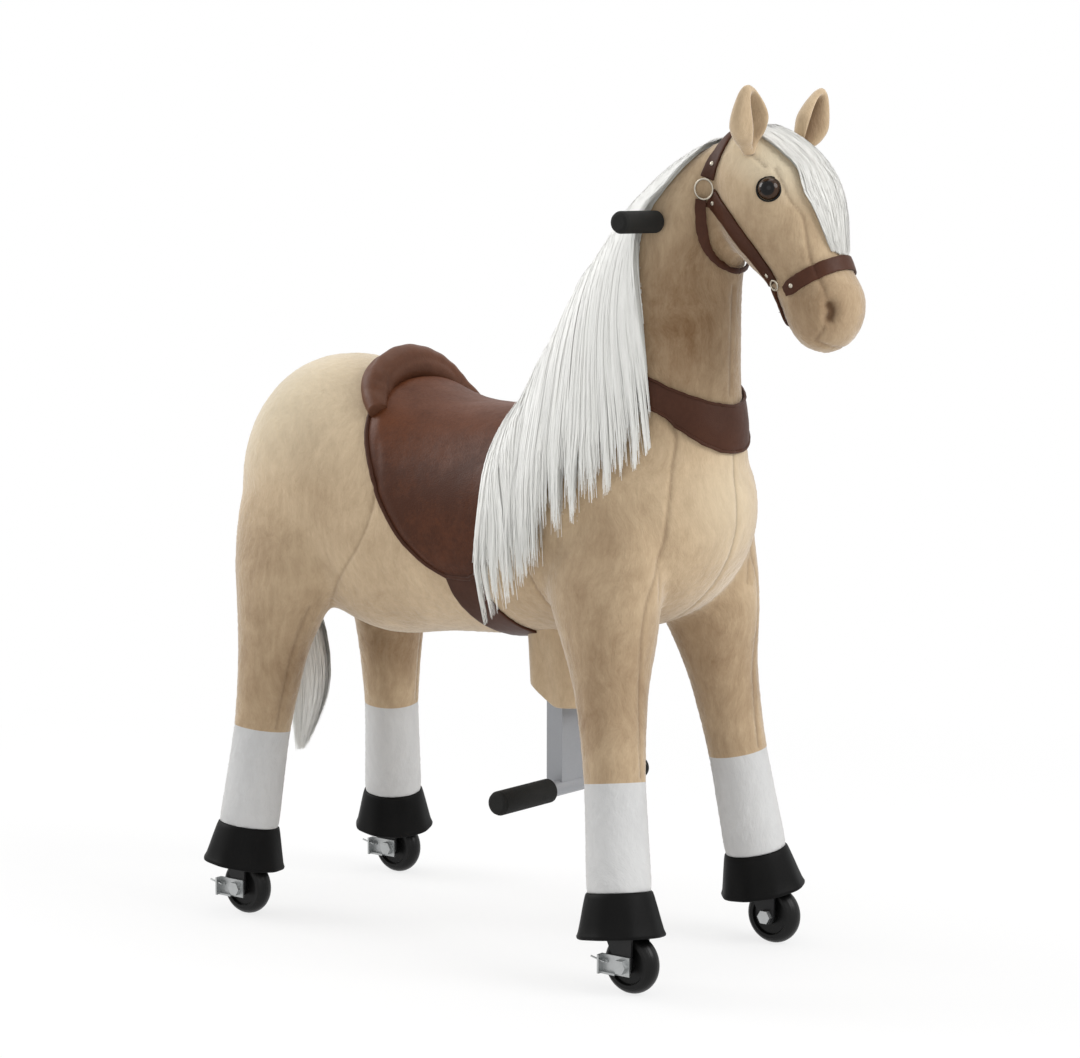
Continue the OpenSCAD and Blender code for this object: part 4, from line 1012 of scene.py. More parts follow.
    def cut(self, whole: Piece) -> None:
        """Cuts the skin into body, legs and socks."""
        level, free = at(0, 0, self.leg_cut), at(0, 0, self.leg_free)
        up, reach = Vector((0, 0, 1)), Vector((self.leg_reach, 0, 0))
        body = sliced(whole, "plush_body", [(level, up)])
        furnish(body, TAN_PLUSH, Slot.TAN, NECK_TURN, ("torso", "neck", "head"))
        for end in ("front", "rear"):
            socks = []
            for leg in (g for g in self.legs if g.front is (end == "front")):
                side = leg.side.name.lower()
                middle = at(leg.start_x, 0, 0)
                quarter = [(middle - reach, Vector((1, 0, 0))), (middle + reach, Vector((-1, 0, 0))),
                           (at(0, 0, 0), Vector((0, leg.side.value, 0))), (level, -up)]
                hem = leg.point(0, 0, leg.length - HOOF_H - SOCK_H)
                axis = leg.turn @ up
                upper = sliced(whole, f"plush_leg_{end}_{side}", quarter + [(hem, axis)])
                top = leg.point(0, 0, -self.leg_cut)
                bend = Bend("chassis", f"{end}_legs", Vector((top.x, top.y, level.z)),
                            Vector((top.x, top.y, free.z)))
                furnish(upper, TAN_PLUSH, Slot.TAN, bend, (f"{end}_leg_{side}",))
                socks.append(sliced(whole, f"sock_{side}", quarter + [(hem, -axis)]))
            furnish(joined(f"plush_socks_{end}", socks), WHITE_PLUSH, Slot.WHITE, f"{end}_legs",
                    (f"{end}_socks",))
        bpy.data.objects.remove(whole)


def inflate(obj: Piece, pins: str, pressure: float, frames: int, cap: float) -> None:
    """Swells a closed skin by cloth simulation and keeps the result.

    Args:
        obj: the skin.
        pins: vertex group of held points.
        pressure: pressure inside.
        frames: steps of the simulation.
        cap: farthest that a point may move, in metres.
    """
    rest = [v.co.copy() for v in obj.data.vertices]
    cloth = obj.modifiers.new("stuffing", "CLOTH")
    cloth.settings.quality = 4
    cloth.settings.use_pressure = True
    cloth.settings.uniform_pressure_force = pressure
    cloth.settings.effector_weights.gravity = 0.0
    cloth.settings.vertex_group_mass = pins
    cloth.settings.bending_stiffness = 4.0
    cloth.collision_settings.use_collision = False
    cloth.point_cache.frame_start = 1
    cloth.point_cache.frame_end = frames
    scene = bpy.context.scene
    for k in range(1, frames + 1):
        scene.frame_set(k)
    graph = bpy.context.evaluated_depsgraph_get()
    moved = [v.co.copy() for v in obj.evaluated_get(graph).data.vertices]
    obj.modifiers.remove(cloth)
    scene.frame_set(1)
    for v, a, b in zip(obj.data.vertices, rest, moved):
        step = b - a
        v.co = a + step * min(1.0, cap / max(step.length, 1e-9))
    obj.data.update()


def sliced(whole: Piece, name: str, planes: Sequence[tuple[Vector, Vector]]) -> Piece:
    """Keeps what lies on the positive side of all planes and closes the cuts.

    Args:
        whole: mesh to cut from.
        name: name of the new piece.
        planes: points and normals; the side that the normal points to is kept.

    Returns:
        The closed piece.
    """
    bm = bmesh.new()
    bm.from_mesh(whole.data)
    for point, normal in planes:
        bmesh.ops.bisect_plane(bm, geom=bm.verts[:] + bm.edges[:] + bm.faces[:], dist=1e-6, plane_co=point,
                               plane_no=normal, clear_inner=True)
        rim = [e for e in bm.edges if e.is_boundary]
        made = bmesh.ops.holes_fill(bm, edges=rim, sides=0)["faces"]
        for f in made:
            for e in f.edges:
                e.smooth = False
    return piece_from(bm, name)


@dataclass
class Ears:
    """Cupped plush ears."""

    base: Place = (334.0, 46.0, 378.0)
    tilt: float = 17.4
    lean: float = 9.4
    turn: float = 6.0
    hollow_top: float = 62.0
    rows: Rows = (
        (-4, -3, 5, 6), (5, -3, 7.5, 10.5), (13, -1.5, 11.5, 17.5), (21, -0.5, 13.5, 22), (30, 0, 14.5, 24),
        (42, 0, 12, 20.5), (53, 0, 9, 14), (60.5, 0, 6, 8.5), (65, 0, 2, 3))

    def build(self) -> None:
        """Makes both ears."""
        fine = smooth_rows(self.rows, 3)
        heights, _, depths, halves = zip(*fine)
        x, y, z = self.base
        for side in Side:
            s = side.value
            turn = turned(s * self.turn, "Z") @ turned(self.lean, "Y") @ turned(-s * self.tilt, "X")
            foot = at(x, s * y, z)
            bm = bmesh.new()
            loft(bm, [Station(foot + turn @ mm(shift, 0, up), turn @ mm(depth, 0, 0), turn @ mm(0, half, 0))
                      for up, shift, depth, half in fine], 32)
            shade = bm.verts.layers.float.new("seam")
            for v in bm.verts:
                p = turn.transposed() @ (v.co - foot) * 1000
                if p.x <= 0 or not 0 < p.z < self.hollow_top:
                    continue
                depth, half = (float(np.interp(p.z, heights, table)) for table in (depths, halves))
                inner = -s * p.y / half
                hollow = ramp(0.62, 0.12, abs(inner - 0.28)) * ramp(-2, 14, p.z) * ramp(63, 48, p.z)
                p.x -= hollow * (p.x + 0.62 * depth)
                # Painted shade in the hollow, darkest at its slit.
                v[shade] = 1.05 * hollow * ramp(0.62, 0.1, inner)
                v.co = foot + turn @ (p / 1000)
            name = side.name.lower()
            ear = modified(piece_from(bm, f"plush_ear_{name}"), "SUBSURF", levels=1, render_levels=1)
            furnish(ear, TAN_PLUSH, Slot.TAN, "steering", (f"ear_{name}",))


@dataclass
class Eyes:
    """Glossy eyes with a raised rim."""

    centre: Place = (355.0, 45.5, 342.0)
    radius: float = 11.5
    out: Place = (0.34, 0.93, 0.1)

    def build(self, skin: Skin) -> None:
        """Makes both eyes in one piece and their rims in another."""
        balls, rims = [], []
        for side in Side:
            middle = at(self.centre[0], side.value * self.centre[1], self.centre[2])
            way = Vector((self.out[0], side.value * self.out[1], self.out[2])).normalized()
            face = way.to_track_quat("Z", "Y").to_matrix().to_4x4()
            bm = bmesh.new()
            bmesh.ops.create_uvsphere(bm, u_segments=40, v_segments=28, radius=self.radius / 1000)
            layer = bm.verts.layers.float.new("rim")
            for v in bm.verts:
                v[layer] = math.hypot(v.co.x, v.co.y) / (self.radius / 1000) if v.co.z > 0 else 1.0
            bmesh.ops.transform(bm, matrix=Matrix.Translation(middle) @ face, verts=bm.verts)
            balls.append(piece_from(bm, "ball"))
            ring = [skin.nearest(middle + face.to_3x3() @ Vector((c.x, c.y, 0.35)) * 0.012, 0.0006)
                    for c in circle(36)]
            rims.append(tube("rim", ring, 0.0009, closed=True, sides=4))
        furnish(joined("glossy_eyes", balls), EYE_GLOSS, Slot.EYE, "steering", ("eyes",))
        furnish(joined("eye_rims", rims), FOAM, Slot.EYE, "steering")


@dataclass
class Saddle:
    """Leather seat with flaps, piping, cantle roll and girth."""

    back: Rows = (
        (0.0, -128), (0.2, -126), (0.38, -116), (0.55, -96), (0.7, -77), (0.84, -52), (0.94, -24), (1.0, 6))
    front: Rows = (
        (0.0, 93), (0.3, 93), (0.55, 91), (0.72, 86), (0.85, 74), (0.94, 58), (1.0, 36))
    low_angle: float = -26.0
    pad: float = 9.0
    flap: float = 4.0
    # Height below which the seat gets painted shade.
    painted_shade_top: float = 112.0
    roll_r: float = 21.5
    piping_r: float = 0.0026
    girth_w: float = 44.0

    def edge_x(self, rows: Sequence[Row], t: float) -> float:
        """Gives the outline's x at share t from spine to flap end."""
        fine = smooth_rows(rows, 6)
        return float(np.interp(t, [r[0] for r in fine], [r[1] for r in fine]))

    def on_body(self, skin: Skin, x: float, angle: float, lift: float) -> Vector:
        """Gives a point of the body's round at an angle from the side, lifted outwards."""
        a = math.radians(angle)
        return skin.outward(at(x, 0, 0), Vector((0, math.cos(a), math.sin(a))), lift / 1000)

    def seat_point(self, skin: Skin, u: float, v: float) -> Vector:
        """Gives the seat's upper surface for shares along and across."""
        t = abs(2 * v - 1)
        x0, x1 = self.edge_x(self.back, t), self.edge_x(self.front, t)
        x = x0 + (x1 - x0) * u
        angle = 90 - (90 - self.low_angle) * t
        angle = angle if v > 0.5 else 180 - angle
        rim = min(u * (x1 - x0), (1 - u) * (x1 - x0), (1 - t) * 230)
        lift = 2.2 + (self.flap + (self.pad - self.flap) * ramp(0.5, 0.25, t)) * ramp(0, 16, rim)
        return self.on_body(skin, x, angle, lift)

    def build(self, skin: Skin) -> None:
        """Makes seat, piping, cantle and girth."""
        seat = panel("saddle_pad", 40, 90, lambda u, v: self.seat_point(skin, u, v), at(-20, 0, 0), 0.0018)
        modified(seat, "SUBSURF", levels=1, render_levels=1)
        # Painted shade: seat and flaps darker towards their bottom, below that height.
        top = at(0, 0, self.painted_shade_top).z
        mark(seat, "nap", [0.42 * ramp(top, top - 0.06, v.co.z) for v in seat.data.vertices])
        side, end = [k / 90 for k in range(90)], [k / 8 for k in range(8)]
        border = [(0.0, t) for t in side] + [(t, 1.0) for t in end]
        border += [(1 - u, 1 - v) for u, v in border]
        piping = tube("saddle_piping", [self.seat_point(skin, u, v) for u, v in border], self.piping_r,
                      closed=True)
        furnish(seat, SADDLE_LEATHER, Slot.LEATHER, "chassis", ("saddle_seat",))
        furnish(piping, STRAP_LEATHER, Slot.LEATHER, "chassis")
        self.cantle()
        self.girth(skin)

    def cantle(self) -> None:
        """Makes the gathered roll behind the seat."""
        half = [(-107, 81, 109, 0.5), (-122, 67, 124, 0.72), (-131, 53, 138.5, 0.86), (-135, 30, 150, 0.96)]
        path = smooth_rows([(x, -y, z, r) for x, y, z, r in half] + [(-136, 0, 155, 1)] + half[::-1], 8)
        stations = []
        for i, row in enumerate(path):
            way = Vector((path[min(i + 1, len(path) - 1)] - path[max(i - 1, 0)])[:3]).normalized()
            side = way.cross(Vector((1, 0, 0))).normalized()
            r = self.roll_r * row[3] / 1000
            stations.append(Station(at(*row[:3]), side * r, way.cross(side) * r))
        bm = bmesh.new()
        loft(bm, stations, 40)
        line = tree_of([station.centre for station in stations])
        for v in bm.verts:
            place, i, _ = line.find(v.co)
            out = v.co - place
            if out.length < 1e-6:
                continue
            up = out.normalized()
            seam = math.exp(-((up.z - 0.82) / 0.12) ** 2 - ((up.x + 0.5) / 0.35) ** 2)
            gather = 0.5 + 0.5 * math.sin(i * 1.1 + 3 * up.x)
            crease = math.exp(-((math.atan2(up.z, up.x) - 0.35) / 0.22) ** 2)
            v.co += up * (-0.0026 * seam - 0.0007 * gather * ramp(0.2, 0.9, up.z) - 0.002 * crease)
        roll = modified(piece_from(bm, "cantle_roll"), "SUBSURF", levels=1, render_levels=1)
        furnish(roll, ROLL_LEATHER, Slot.LEATHER, "chassis", ("saddle_cantle",))

    def girth(self, skin: Skin) -> None:
        """Makes the strap that runs from flap to flap under the belly."""
        def place(u: float, v: float) -> Vector:
            """Gives the strap's outer surface."""
            t = abs(2 * v - 1)
            angle = -90 + 68 * t
            angle = angle if v > 0.5 else 180 - angle
            x0 = 38 - 34 * ramp(0.0, 1.0, t)
            return self.on_body(skin, x0 + u * (self.girth_w + 3 * t), angle, 3.0)
        strap = panel("girth_band", 10, 70, place, at(40, 0, 0), 0.0026, 0.0007)
        furnish(strap, STRAP_LEATHER, Slot.LEATHER, "chassis", ("girth_strap",))


@dataclass
class Collar:
    """Wide breast collar around the lower neck."""

    middle: float = 192.0
    piping_r: float = 0.0016
    top: Rows = (
        (0, 129), (15, 132), (30, 139), (46, 148), (56, 155), (80, 166), (130, 176), (180, 180))
    low: Rows = (
        (0, 84), (12, 86), (22, 92), (32, 101), (47, 118), (57, 127), (80, 141), (130, 153), (180, 157))

    def build(self, skin: Skin) -> None:
        """Makes the collar with its edge piping."""
        edge = [list(zip(*smooth_rows(rows, 5))) for rows in (self.low, self.top)]
        def place(u: float, v: float, lift: float = 3.4) -> Vector:
            """Gives the collar's outer surface."""
            turn = 360 * u - 180
            low, top = (float(np.interp(abs(turn), *rows)) for rows in edge)
            z = low + (top - low) * v
            a = math.radians(turn)
            crown = lift + 1.2 * math.sin(math.pi * v)
            return skin.outward(at(self.middle, 0, z), Vector((math.cos(a), math.sin(a), 0)), crown / 1000,
                                0.14)
        band = panel("collar_band", 110, 10, place, at(self.middle, 0, 130), 0.0028, 0.0007, wrap=True)
        edges = [tube("edge", [place(k / 140, v, 3.0) for k in range(140)], self.piping_r, closed=True)
                 for v in (0.0, 1.0)]
        furnish(band, STRAP_LEATHER, Slot.LEATHER, NECK_TURN, ("breast_collar",))
        furnish(joined("collar_piping", edges), STRAP_LEATHER, Slot.LEATHER, NECK_TURN)


@dataclass
class Halter:
    """Riveted leather straps of the head."""

    ring_at: Place = (280.6, 44.9, 341.8)
    nose_at: Place = (357.0, 36.0, 251.0)
    width: float = 15.0
    throat_w: float = 10.5
    chin_w: float = 8.5
    ring_r: float = 0.0098
    nose_r: float = 0.0048
    wire_r: float = 0.001
    rivet_r: float = 0.0025
    thickness: float = 0.0022
    edge: float = 0.0005
    crown: Rows = (
        (283, 44.3, 352), (288, 41.2, 366.8), (294.5, 36, 381), (299, 24, 392), (302, 0, 399))
    cheek: Rows = (
        (286, 44, 334), (292, 45, 328), (306.5, 49.5, 313), (319.5, 47.3, 297), (330.4, 43.5, 283),
        (338.8, 39.5, 271), (345.7, 36, 260), (350.5, 33.5, 251))
    throat: Rows = (
        (276.5, 45, 332), (275.3, 44.5, 322), (274.4, 40.7, 300), (275.9, 37.2, 288), (279.3, 32.5, 278),
        (283.2, 25, 270), (287.3, 12.5, 264), (288.5, 0, 262))
    chin: Rows = (
        (350, 31, 245), (348.5, 26, 238), (351, 23, 230), (355.5, 22, 223), (357, 10, 217), (357, 0, 215.5))
    rivets: Rows = (
        (287.3, 366.1), (288.9, 327.9), (274.4, 316.5), (343.6, 256.2), (377, 251.3))

    def strap(self, skin: Skin, points: Sequence[Row], width: float, tip: float = 1.0) -> Piece:
        """Makes one flat strap along points on the head.

        Args:
            skin: surface that it lies on.
            points: its middle line, in millimetres.
            width: its width in millimetres.
            tip: share of the width that is left at its end.

        Returns:
            The strap.
        """
        rows = smooth_rows(points, 8)
        line = [skin.nearest(at(*r)) for r in rows]
        def place(u: float, v: float) -> Vector:
            """Gives the strap's outer surface."""
            k = u * (len(line) - 1)
            i = min(int(k), len(line) - 2)
            here = line[i].lerp(line[i + 1], k - i)
            way = (line[min(i + 2, len(line) - 1)] - line[max(i - 1, 0)]).normalized()
            side = skin.normal(here).cross(way).normalized()
            wide = width * (1 - (1 - tip) * ramp(0.15, 0.9, u))
            return skin.nearest(here + side * ((v - 0.5) * wide / 1000),
                                (2.6 + 0.5 * math.sin(math.pi * v)) / 1000)
        return panel("strap", 4 * len(points), 6, place, at(330, 0, 310), self.thickness, self.edge)

    def build(self, skin: Skin, horse: PlushHorse) -> None:
        """Makes straps, rings and rivets."""
        straps, metal = [], []
        for side in Side:
            s = side.value
            for points, width, tip in ((self.crown, self.width + 1, 1.0), (self.cheek, self.width + 6, 0.78),
                                       (self.throat, self.throat_w, 0.4), (self.chin, self.chin_w, 1.0)):
                straps.append(self.strap(skin, [(px, s * py, pz) for px, py, pz in points], width, tip))
            for (x, y, z), radius in ((self.ring_at, self.ring_r), (self.nose_at, self.nose_r)):
                near = at(x, s * y, z)
                face = skin.normal(near).to_track_quat("Z", "Y").to_matrix()
                hoop = [skin.nearest(near, 0.0046) + face @ c * radius for c in circle(36)]
                metal.append(tube("hoop", hoop, self.wire_r, closed=True))
            metal += [self.rivet(skin, at(rx, s * 44, rz)) for rx, rz in self.rivets]
        down = horse.face_point(1, 0, 0) - horse.face_point(0, 0, 0)
        def nose_place(u: float, v: float) -> Vector:
            """Gives the noseband's outer surface, from one nose ring round the front to the other."""
            a = math.radians(210 * u - 105)
            narrow = 1 - 0.3 * ramp(0.44, 0.5, abs(u - 0.5))
            middle = horse.face_point(164.5 - 3.9 * math.cos(a), 0, 0)
            way = horse.face_out * math.cos(a) + Vector((0, math.sin(a), 0))
            start = middle + down * ((v - 0.5) * self.width * narrow)
            return skin.outward(start, way, (2.8 + 0.5 * math.sin(math.pi * v)) / 1000, 0.06)
        straps.append(panel("noseband", 70, 6, nose_place, horse.face_point(160, 0, 0), self.thickness,
                            self.edge))
        furnish(joined("halter_straps", straps), STRAP_LEATHER, Slot.LEATHER, "steering", ("halter",))
        furnish(joined("halter_metal", metal), HALTER_METAL, Slot.ZINC, "steering", ("halter_rings",))

    def rivet(self, skin: Skin, near: Vector) -> Piece:
        """Makes one domed rivet on the strap nearest to a point."""
        foot = skin.nearest(near, 0.0026)
        turn = skin.normal(near).to_track_quat("Z", "Y").to_matrix().to_4x4()
        bm = bmesh.new()
        bmesh.ops.create_uvsphere(bm, u_segments=16, v_segments=10, radius=self.rivet_r)
        bmesh.ops.scale(bm, vec=(1, 1, 0.6), verts=bm.verts)
        bmesh.ops.transform(bm, matrix=Matrix.Translation(foot) @ turn, verts=bm.verts)
        return piece_from(bm, "rivet")


@dataclass
class Hair:
    """Mane, forelock and tail, each of many flat strands over a soft base."""

    seed: int = 7
    segments: int = 14
    tail_base: float = 0.72
    mane_locks: int = 110
    mane_strands: int = 6200
    clear: float = 0.003
    forelock_strands: int = 1700
    tail_strands: int = 1900
    base_u: tuple[float, float] = (0.04, 0.93)
    base_t: tuple[float, float] = (0.05, 0.63)
    inner_share: float = 0.12
    unruly_share: float = 0.06
    strand_w: tuple[float, float] = (0.0005, 0.001)
    tail_w: tuple[float, float] = (0.0005, 0.0012)
    forelock_top: float = -14.0
    forelock_run: float = 160.0
    handle: Place = (230.0, 310.0, 15.0)
    mane_guides: Sequence[Rows] = (
        [(284, 4, 391), (252, -42, 359), (219, -52, 325), (210, -58, 290), (215, -61, 246), (222, -63, 205),
         (230, -66, 155), (240, -71, 92)],
        [(236, 9, 366), (220, -44, 338), (204, -58, 292), (198, -66, 240), (202, -72, 190), (211, -76, 145),
         (220, -82, 105), (228, -91, 64)],
        [(190, 10, 332), (182, -44, 306), (172, -62, 260), (168, -72, 208), (170, -80, 158), (178, -92, 112),
         (187, -106, 72), (196, -114, 30)],
        [(148, 10, 287), (142, -42, 262), (134, -60, 222), (128, -76, 170), (129, -92, 118), (136, -112, 70),
         (144, -122, 25), (150, -125, -14)],
        [(126, 10, 230), (116, -40, 206), (98, -62, 166), (91, -80, 120), (95, -108, 72), (103, -124, 24),
         (107, -126, -18), (108, -120, -66)],
        [(104, 10, 150), (94, -35, 146), (80, -58, 128), (69, -78, 98), (70, -104, 63), (76, -123, 18),
         (71, -125, -32), (64, -98, -92)])
    forelock_half: Rows = (
        (-14, 16), (5, 26), (17, 29), (45, 31), (62, 29.5), (89, 36), (120, 28), (150, 18))
    tail_rows: Rows = (
        (-306, 98, 9, 12), (-326, 64, 14, 22), (-339, 10, 15, 28), (-334, -50, 15, 31), (-312, -100, 15, 32),
        (-291, -145, 15, 32), (-282, -190, 15, 31), (-283, -225, 12, 27), (-289, -256, 8, 17),
        (-296, -284, 3, 6))

    def __post_init__(self) -> None:
        """Prepares the draws and the smooth guides."""
        self.draw = random.Random(self.seed)
        self.guides = [smooth_rows(g, 3) for g in self.mane_guides]

    def ribbons(self, name: str,
                paths: Sequence[tuple[Sequence[Vector], Sequence[Vector], float, float]]) -> Piece:
        """Makes flat tapering strands.

        Args:
            name: name of the piece.
            paths: for each strand its points, outward directions, width and tint.

        Returns:
            The mesh object with a tint for each strand.
        """
        n = self.segments
        columns = 2 * len(paths) - 1
        bm = bmesh.new()
        bmesh.ops.create_grid(bm, x_segments=columns, y_segments=n, size=0.5)
        layer = bm.verts.layers.float.new("tint")
        gaps = [f for f in bm.faces if round((f.calc_center_median().x + 0.5) * columns - 0.5) % 2]
        bmesh.ops.delete(bm, geom=gaps, context="FACES")
        for v in bm.verts:
            strand, edge = divmod(round((v.co.x + 0.5) * columns), 2)
            k = round((v.co.y + 0.5) * n)
            points, outs, width, tint = paths[strand]
            side = (points[min(k + 1, n)] - points[max(k - 1, 0)]).cross(outs[k]).normalized()
            taper = (0.45 + 0.55 * min(1.0, 6 * k / n)) * (1 - 0.82 * (k / n) ** 2.2)
            v[layer] = tint
            v.co = points[k] + side * ((2 * edge - 1) * width * taper)
        return piece_from(bm, name)

    def base(self, obj: Piece, tint: float, hold: str | Bend, *nodes: str) -> None:
        """Finishes the soft base that strands lie on."""
        mark(obj, "tint", tint)
        furnish(obj, WHITE_HAIR, Slot.HAIR, hold, nodes)

    def grow(self, name: str, count: int, hold: str | Bend, plan: Callable[[], Strand]) -> None:
        """Grows many strands by one plan.

        Args:
            name: name of the piece.
            count: number of strands.
            hold: body that the piece rides on, or a Bend, which only bakes its placement into its mesh.
            plan: draws a strand's width, tint and rule for point and direction from root (0) to tip (1).
        """
        paths = []
        for _ in range(count):
            rule, width, tint = plan()
            points, outs = zip(*(rule(k / self.segments) for k in range(self.segments + 1)))
            paths.append((points, outs, width, tint))
        furnish(self.ribbons(name, paths), WHITE_HAIR, Slot.HAIR, hold)

    def mane_place(self, skin: Skin, u: float, t: float) -> Vector:
        """Gives a point of the mane's middle surface.

        Args:
            skin: surface that it lies on or hangs over.
            u: share along the crest, from poll to withers.
            t: share from root to tip.

        Returns:
            The point, rooted in the skin and outside it.
        """
        place = u * (len(self.guides) - 1)
        i = min(int(place), len(self.guides) - 2)
        a, b = row_at(self.guides[i], t), row_at(self.guides[i + 1], t)
        x, y, z = a * (1 - place + i) + b * (place - i)
        root = skin.nearest(at(x, y, z))
        hit = skin.tree.ray_cast(at(x, -400, z), Vector((0, 1, 0)))
        if hit[0] is not None:
            y = min(y, hit[0].y * 1000)
        over = 9 * ramp(104, 90, x) * ramp(130, 105, z)
        point = root.lerp(at(x, y - over, z), ramp(0.0, 0.1, t))
        near, normal = skin.tree.find_nearest(point)[:2]
        short = self.clear * ramp(0.0, 0.04, t) - (point - near).dot(normal)
        return point + normal * max(0.0, short)

    def lay_mane(self, skin: Skin) -> None:
        """Lays the mane's middle surface as a grid of points and outward directions."""
        columns, rows = 120, 60
        self.sheet = np.array([[self.mane_place(skin, i / columns, k / rows) for k in range(rows + 1)]
                               for i in range(columns + 1)])
        outs = np.cross(np.gradient(self.sheet, axis=0), np.gradient(self.sheet, axis=1))
        outs *= np.sign(outs @ np.array([-0.5, -0.8, 0.2]))[..., None]
        for _ in range(4):
            outs /= np.linalg.norm(outs, axis=2, keepdims=True) + 1e-12
            wide = np.pad(outs, ((1, 1), (1, 1), (0, 0)), mode="edge")
            outs = outs + wide[:-2, 1:-1] + wide[2:, 1:-1] + wide[1:-1, :-2] + wide[1:-1, 2:]
        self.outs = outs / (np.linalg.norm(outs, axis=2, keepdims=True) + 1e-12)

    def mane_point(self, u: float, t: float, lift: float) -> tuple[Vector, Vector]:
        """Gives a point lifted off the mane's middle surface, in millimetres, and its outward direction."""
        i, k = (min(max(s, 0.0), 0.9999) * (n - 1) for s, n in zip((u, t), self.sheet.shape))
        i0, k0 = int(i), int(k)
        a, b = i - i0, k - k0
        point, out = (((1 - a) * (1 - b) * g[i0, k0] + a * (1 - b) * g[i0 + 1, k0]
                       + (1 - a) * b * g[i0, k0 + 1]
                       + a * b * g[i0 + 1, k0 + 1]) for g in (self.sheet, self.outs))
        return self.past_handle(Vector(point + out * (lift / 1000))), Vector(out)

    def past_handle(self, point: Vector) -> Vector:
        """Moves a point of the mane out of the handle's way."""
        x, z, clear = self.handle
        d = point - at(x, 0, z)
        d.y = 0.0
        if point.y > -0.046 or d.length > clear / 1000:
            return point
        return point + d.normalized() * (clear / 1000 - d.length)

    def mane(self, skin: Skin) -> None:
        """Makes the mane that falls over the right side of neck and shoulder."""
        self.lay_mane(skin)
        draw, (u0, du), (t0, dt) = self.draw, self.base_u, self.base_t
        under = panel("mane_base", 70, 40, lambda u, v: self.mane_point(
            u0 + du * u, t0 + v * dt, 0.6 + 2.4 * ramp(0.0, 0.4, v))[0], at(190, 0, 150), 0.0015)
        self.base(under, 0.95, NECK_TURN, "mane", "mane_fall")
        locks = [((i + draw.random()) / self.mane_locks, draw.uniform(-0.03, 0.03), draw.uniform(0.84, 1.07),
                  draw.uniform(0, PHASE_MAX), draw.uniform(0.3, 1.0), draw.uniform(0.01, 0.024))
                 for i in range(self.mane_locks)]

        def plan() -> Strand:
            """Draws one strand of a lock."""
            middle, drift, reach, phase, shade, spread = draw.choice(locks)
            off, stray = draw.gauss(0, 0.7 * spread), draw.gauss(0, 0.006)
            layer, root, inner = draw.random(), draw.uniform(0.0, 0.03), draw.random() < self.inner_share
            length = min(1.0, reach * draw.uniform(0.86, 1.0) * (1 - 0.14 * min(1.0, abs(off) / spread)))
            wave = draw.uniform(0.4, 2.2) * (4 if draw.random() < self.unruly_share else 1)

            def rule(share: float) -> tuple[Vector, Vector]:
                """Gives a point of the strand and its outward direction."""
                t = root + (length - root) * share
                u = middle + off * (1 - 0.6 * t) + (drift + stray) * t * t
                lift = 1.4 + 1.4 * layer + (2.2 + 4.5 * layer) * ramp(0.0, 0.4, t)
                if inner:
                    lift = -(1.5 + 3 * layer) * ramp(0.15, 0.4, t)
                p, out = self.mane_point(u, t, lift)
                sway = Vector((math.sin(phase + 5 * t), 0.2 * math.cos(phase + 4 * t), 0))
                return p + sway * (wave * t / 1000), out
            wide = draw.uniform(*self.strand_w) * (1.0 if layer > 0.5 else 1.6)
            return rule, wide, min(1.05, 0.72 + 0.3 * layer + 0.15 * shade)
        self.grow("mane_strands", self.mane_strands, NECK_TURN, plan)

    def forelock(self, skin: Skin, horse: PlushHorse) -> None:
        """Makes the forelock that lies down the face to the noseband."""
        draw = self.draw

        def place(side: float, t: float, lift: float) -> tuple[Vector, Vector]:
            """Gives a point and outward direction down the face."""
            down = self.forelock_top + self.forelock_run * t
            y = side * float(np.interp(down, *zip(*self.forelock_half))) + 3 * t
            hit = skin.tree.ray_cast(horse.face_point(down, 140, y), -horse.face_out)
            if hit[0] is None or t < 0.1:
                hit = skin.tree.find_nearest(horse.face_point(max(4, down), 20 + 260 * t, y))
            return hit[0] + hit[1] * (lift / 1000), hit[1]
        under = panel("forelock_base", 14, 30, lambda u, v: place(
            (u - 0.5) * 1.75, 0.05 + 0.96 * v, 1.2 + 1.8 * math.sin(math.pi * v))[0],
            horse.face_point(80, -60, 0), 0.002)
        # Painted shade: the forelock's base and strands get low tints, greyer than mane and tail, against the
        # light on top of the face.
        self.base(under, 0.1, "steering", "forelock")

        def plan() -> Strand:
            """Draws one strand."""
            side, layer = draw.uniform(-1, 1), draw.random()
            length = draw.uniform(0.96, 1.07) - 0.05 * abs(side)
            phase = draw.uniform(0, PHASE_MAX)

            def rule(share: float) -> tuple[Vector, Vector]:
                """Gives a point of the strand and its outward direction."""
                t = length * share
                p, out = place(side * (1 - 0.15 * t), t,
                               2.0 + 4 * layer * math.sin(math.pi * min(1, 0.12 + 0.8 * t)))
                return p + Vector((0, math.sin(phase + 4 * t), 0)) * (0.0016 * t), out
            return rule, draw.uniform(*self.strand_w), draw.uniform(-0.1, 0.4)
        self.grow("forelock_strands", self.forelock_strands, "steering", plan)

    def tail(self) -> None:
        """Makes the hanging tail."""
        draw, rows = self.draw, smooth_rows(self.tail_rows, 4)
        bm = bmesh.new()
        loft(bm, [Station(at(x, 0, z), mm(self.tail_base * depth, 0, 0), mm(0, self.tail_base * half, 0))
                  for x, z, depth, half in rows[:-8]], 24)
        self.base(piece_from(bm, "tail_base"), 0.95, "chassis", "tail")

        def plan() -> Strand:
            """Draws one strand."""
            a, r = draw.uniform(0, 2 * math.pi), math.sqrt(draw.uniform(0.3, 1.0))
            length, phase = draw.uniform(0.74, 1.0), draw.uniform(0, PHASE_MAX)

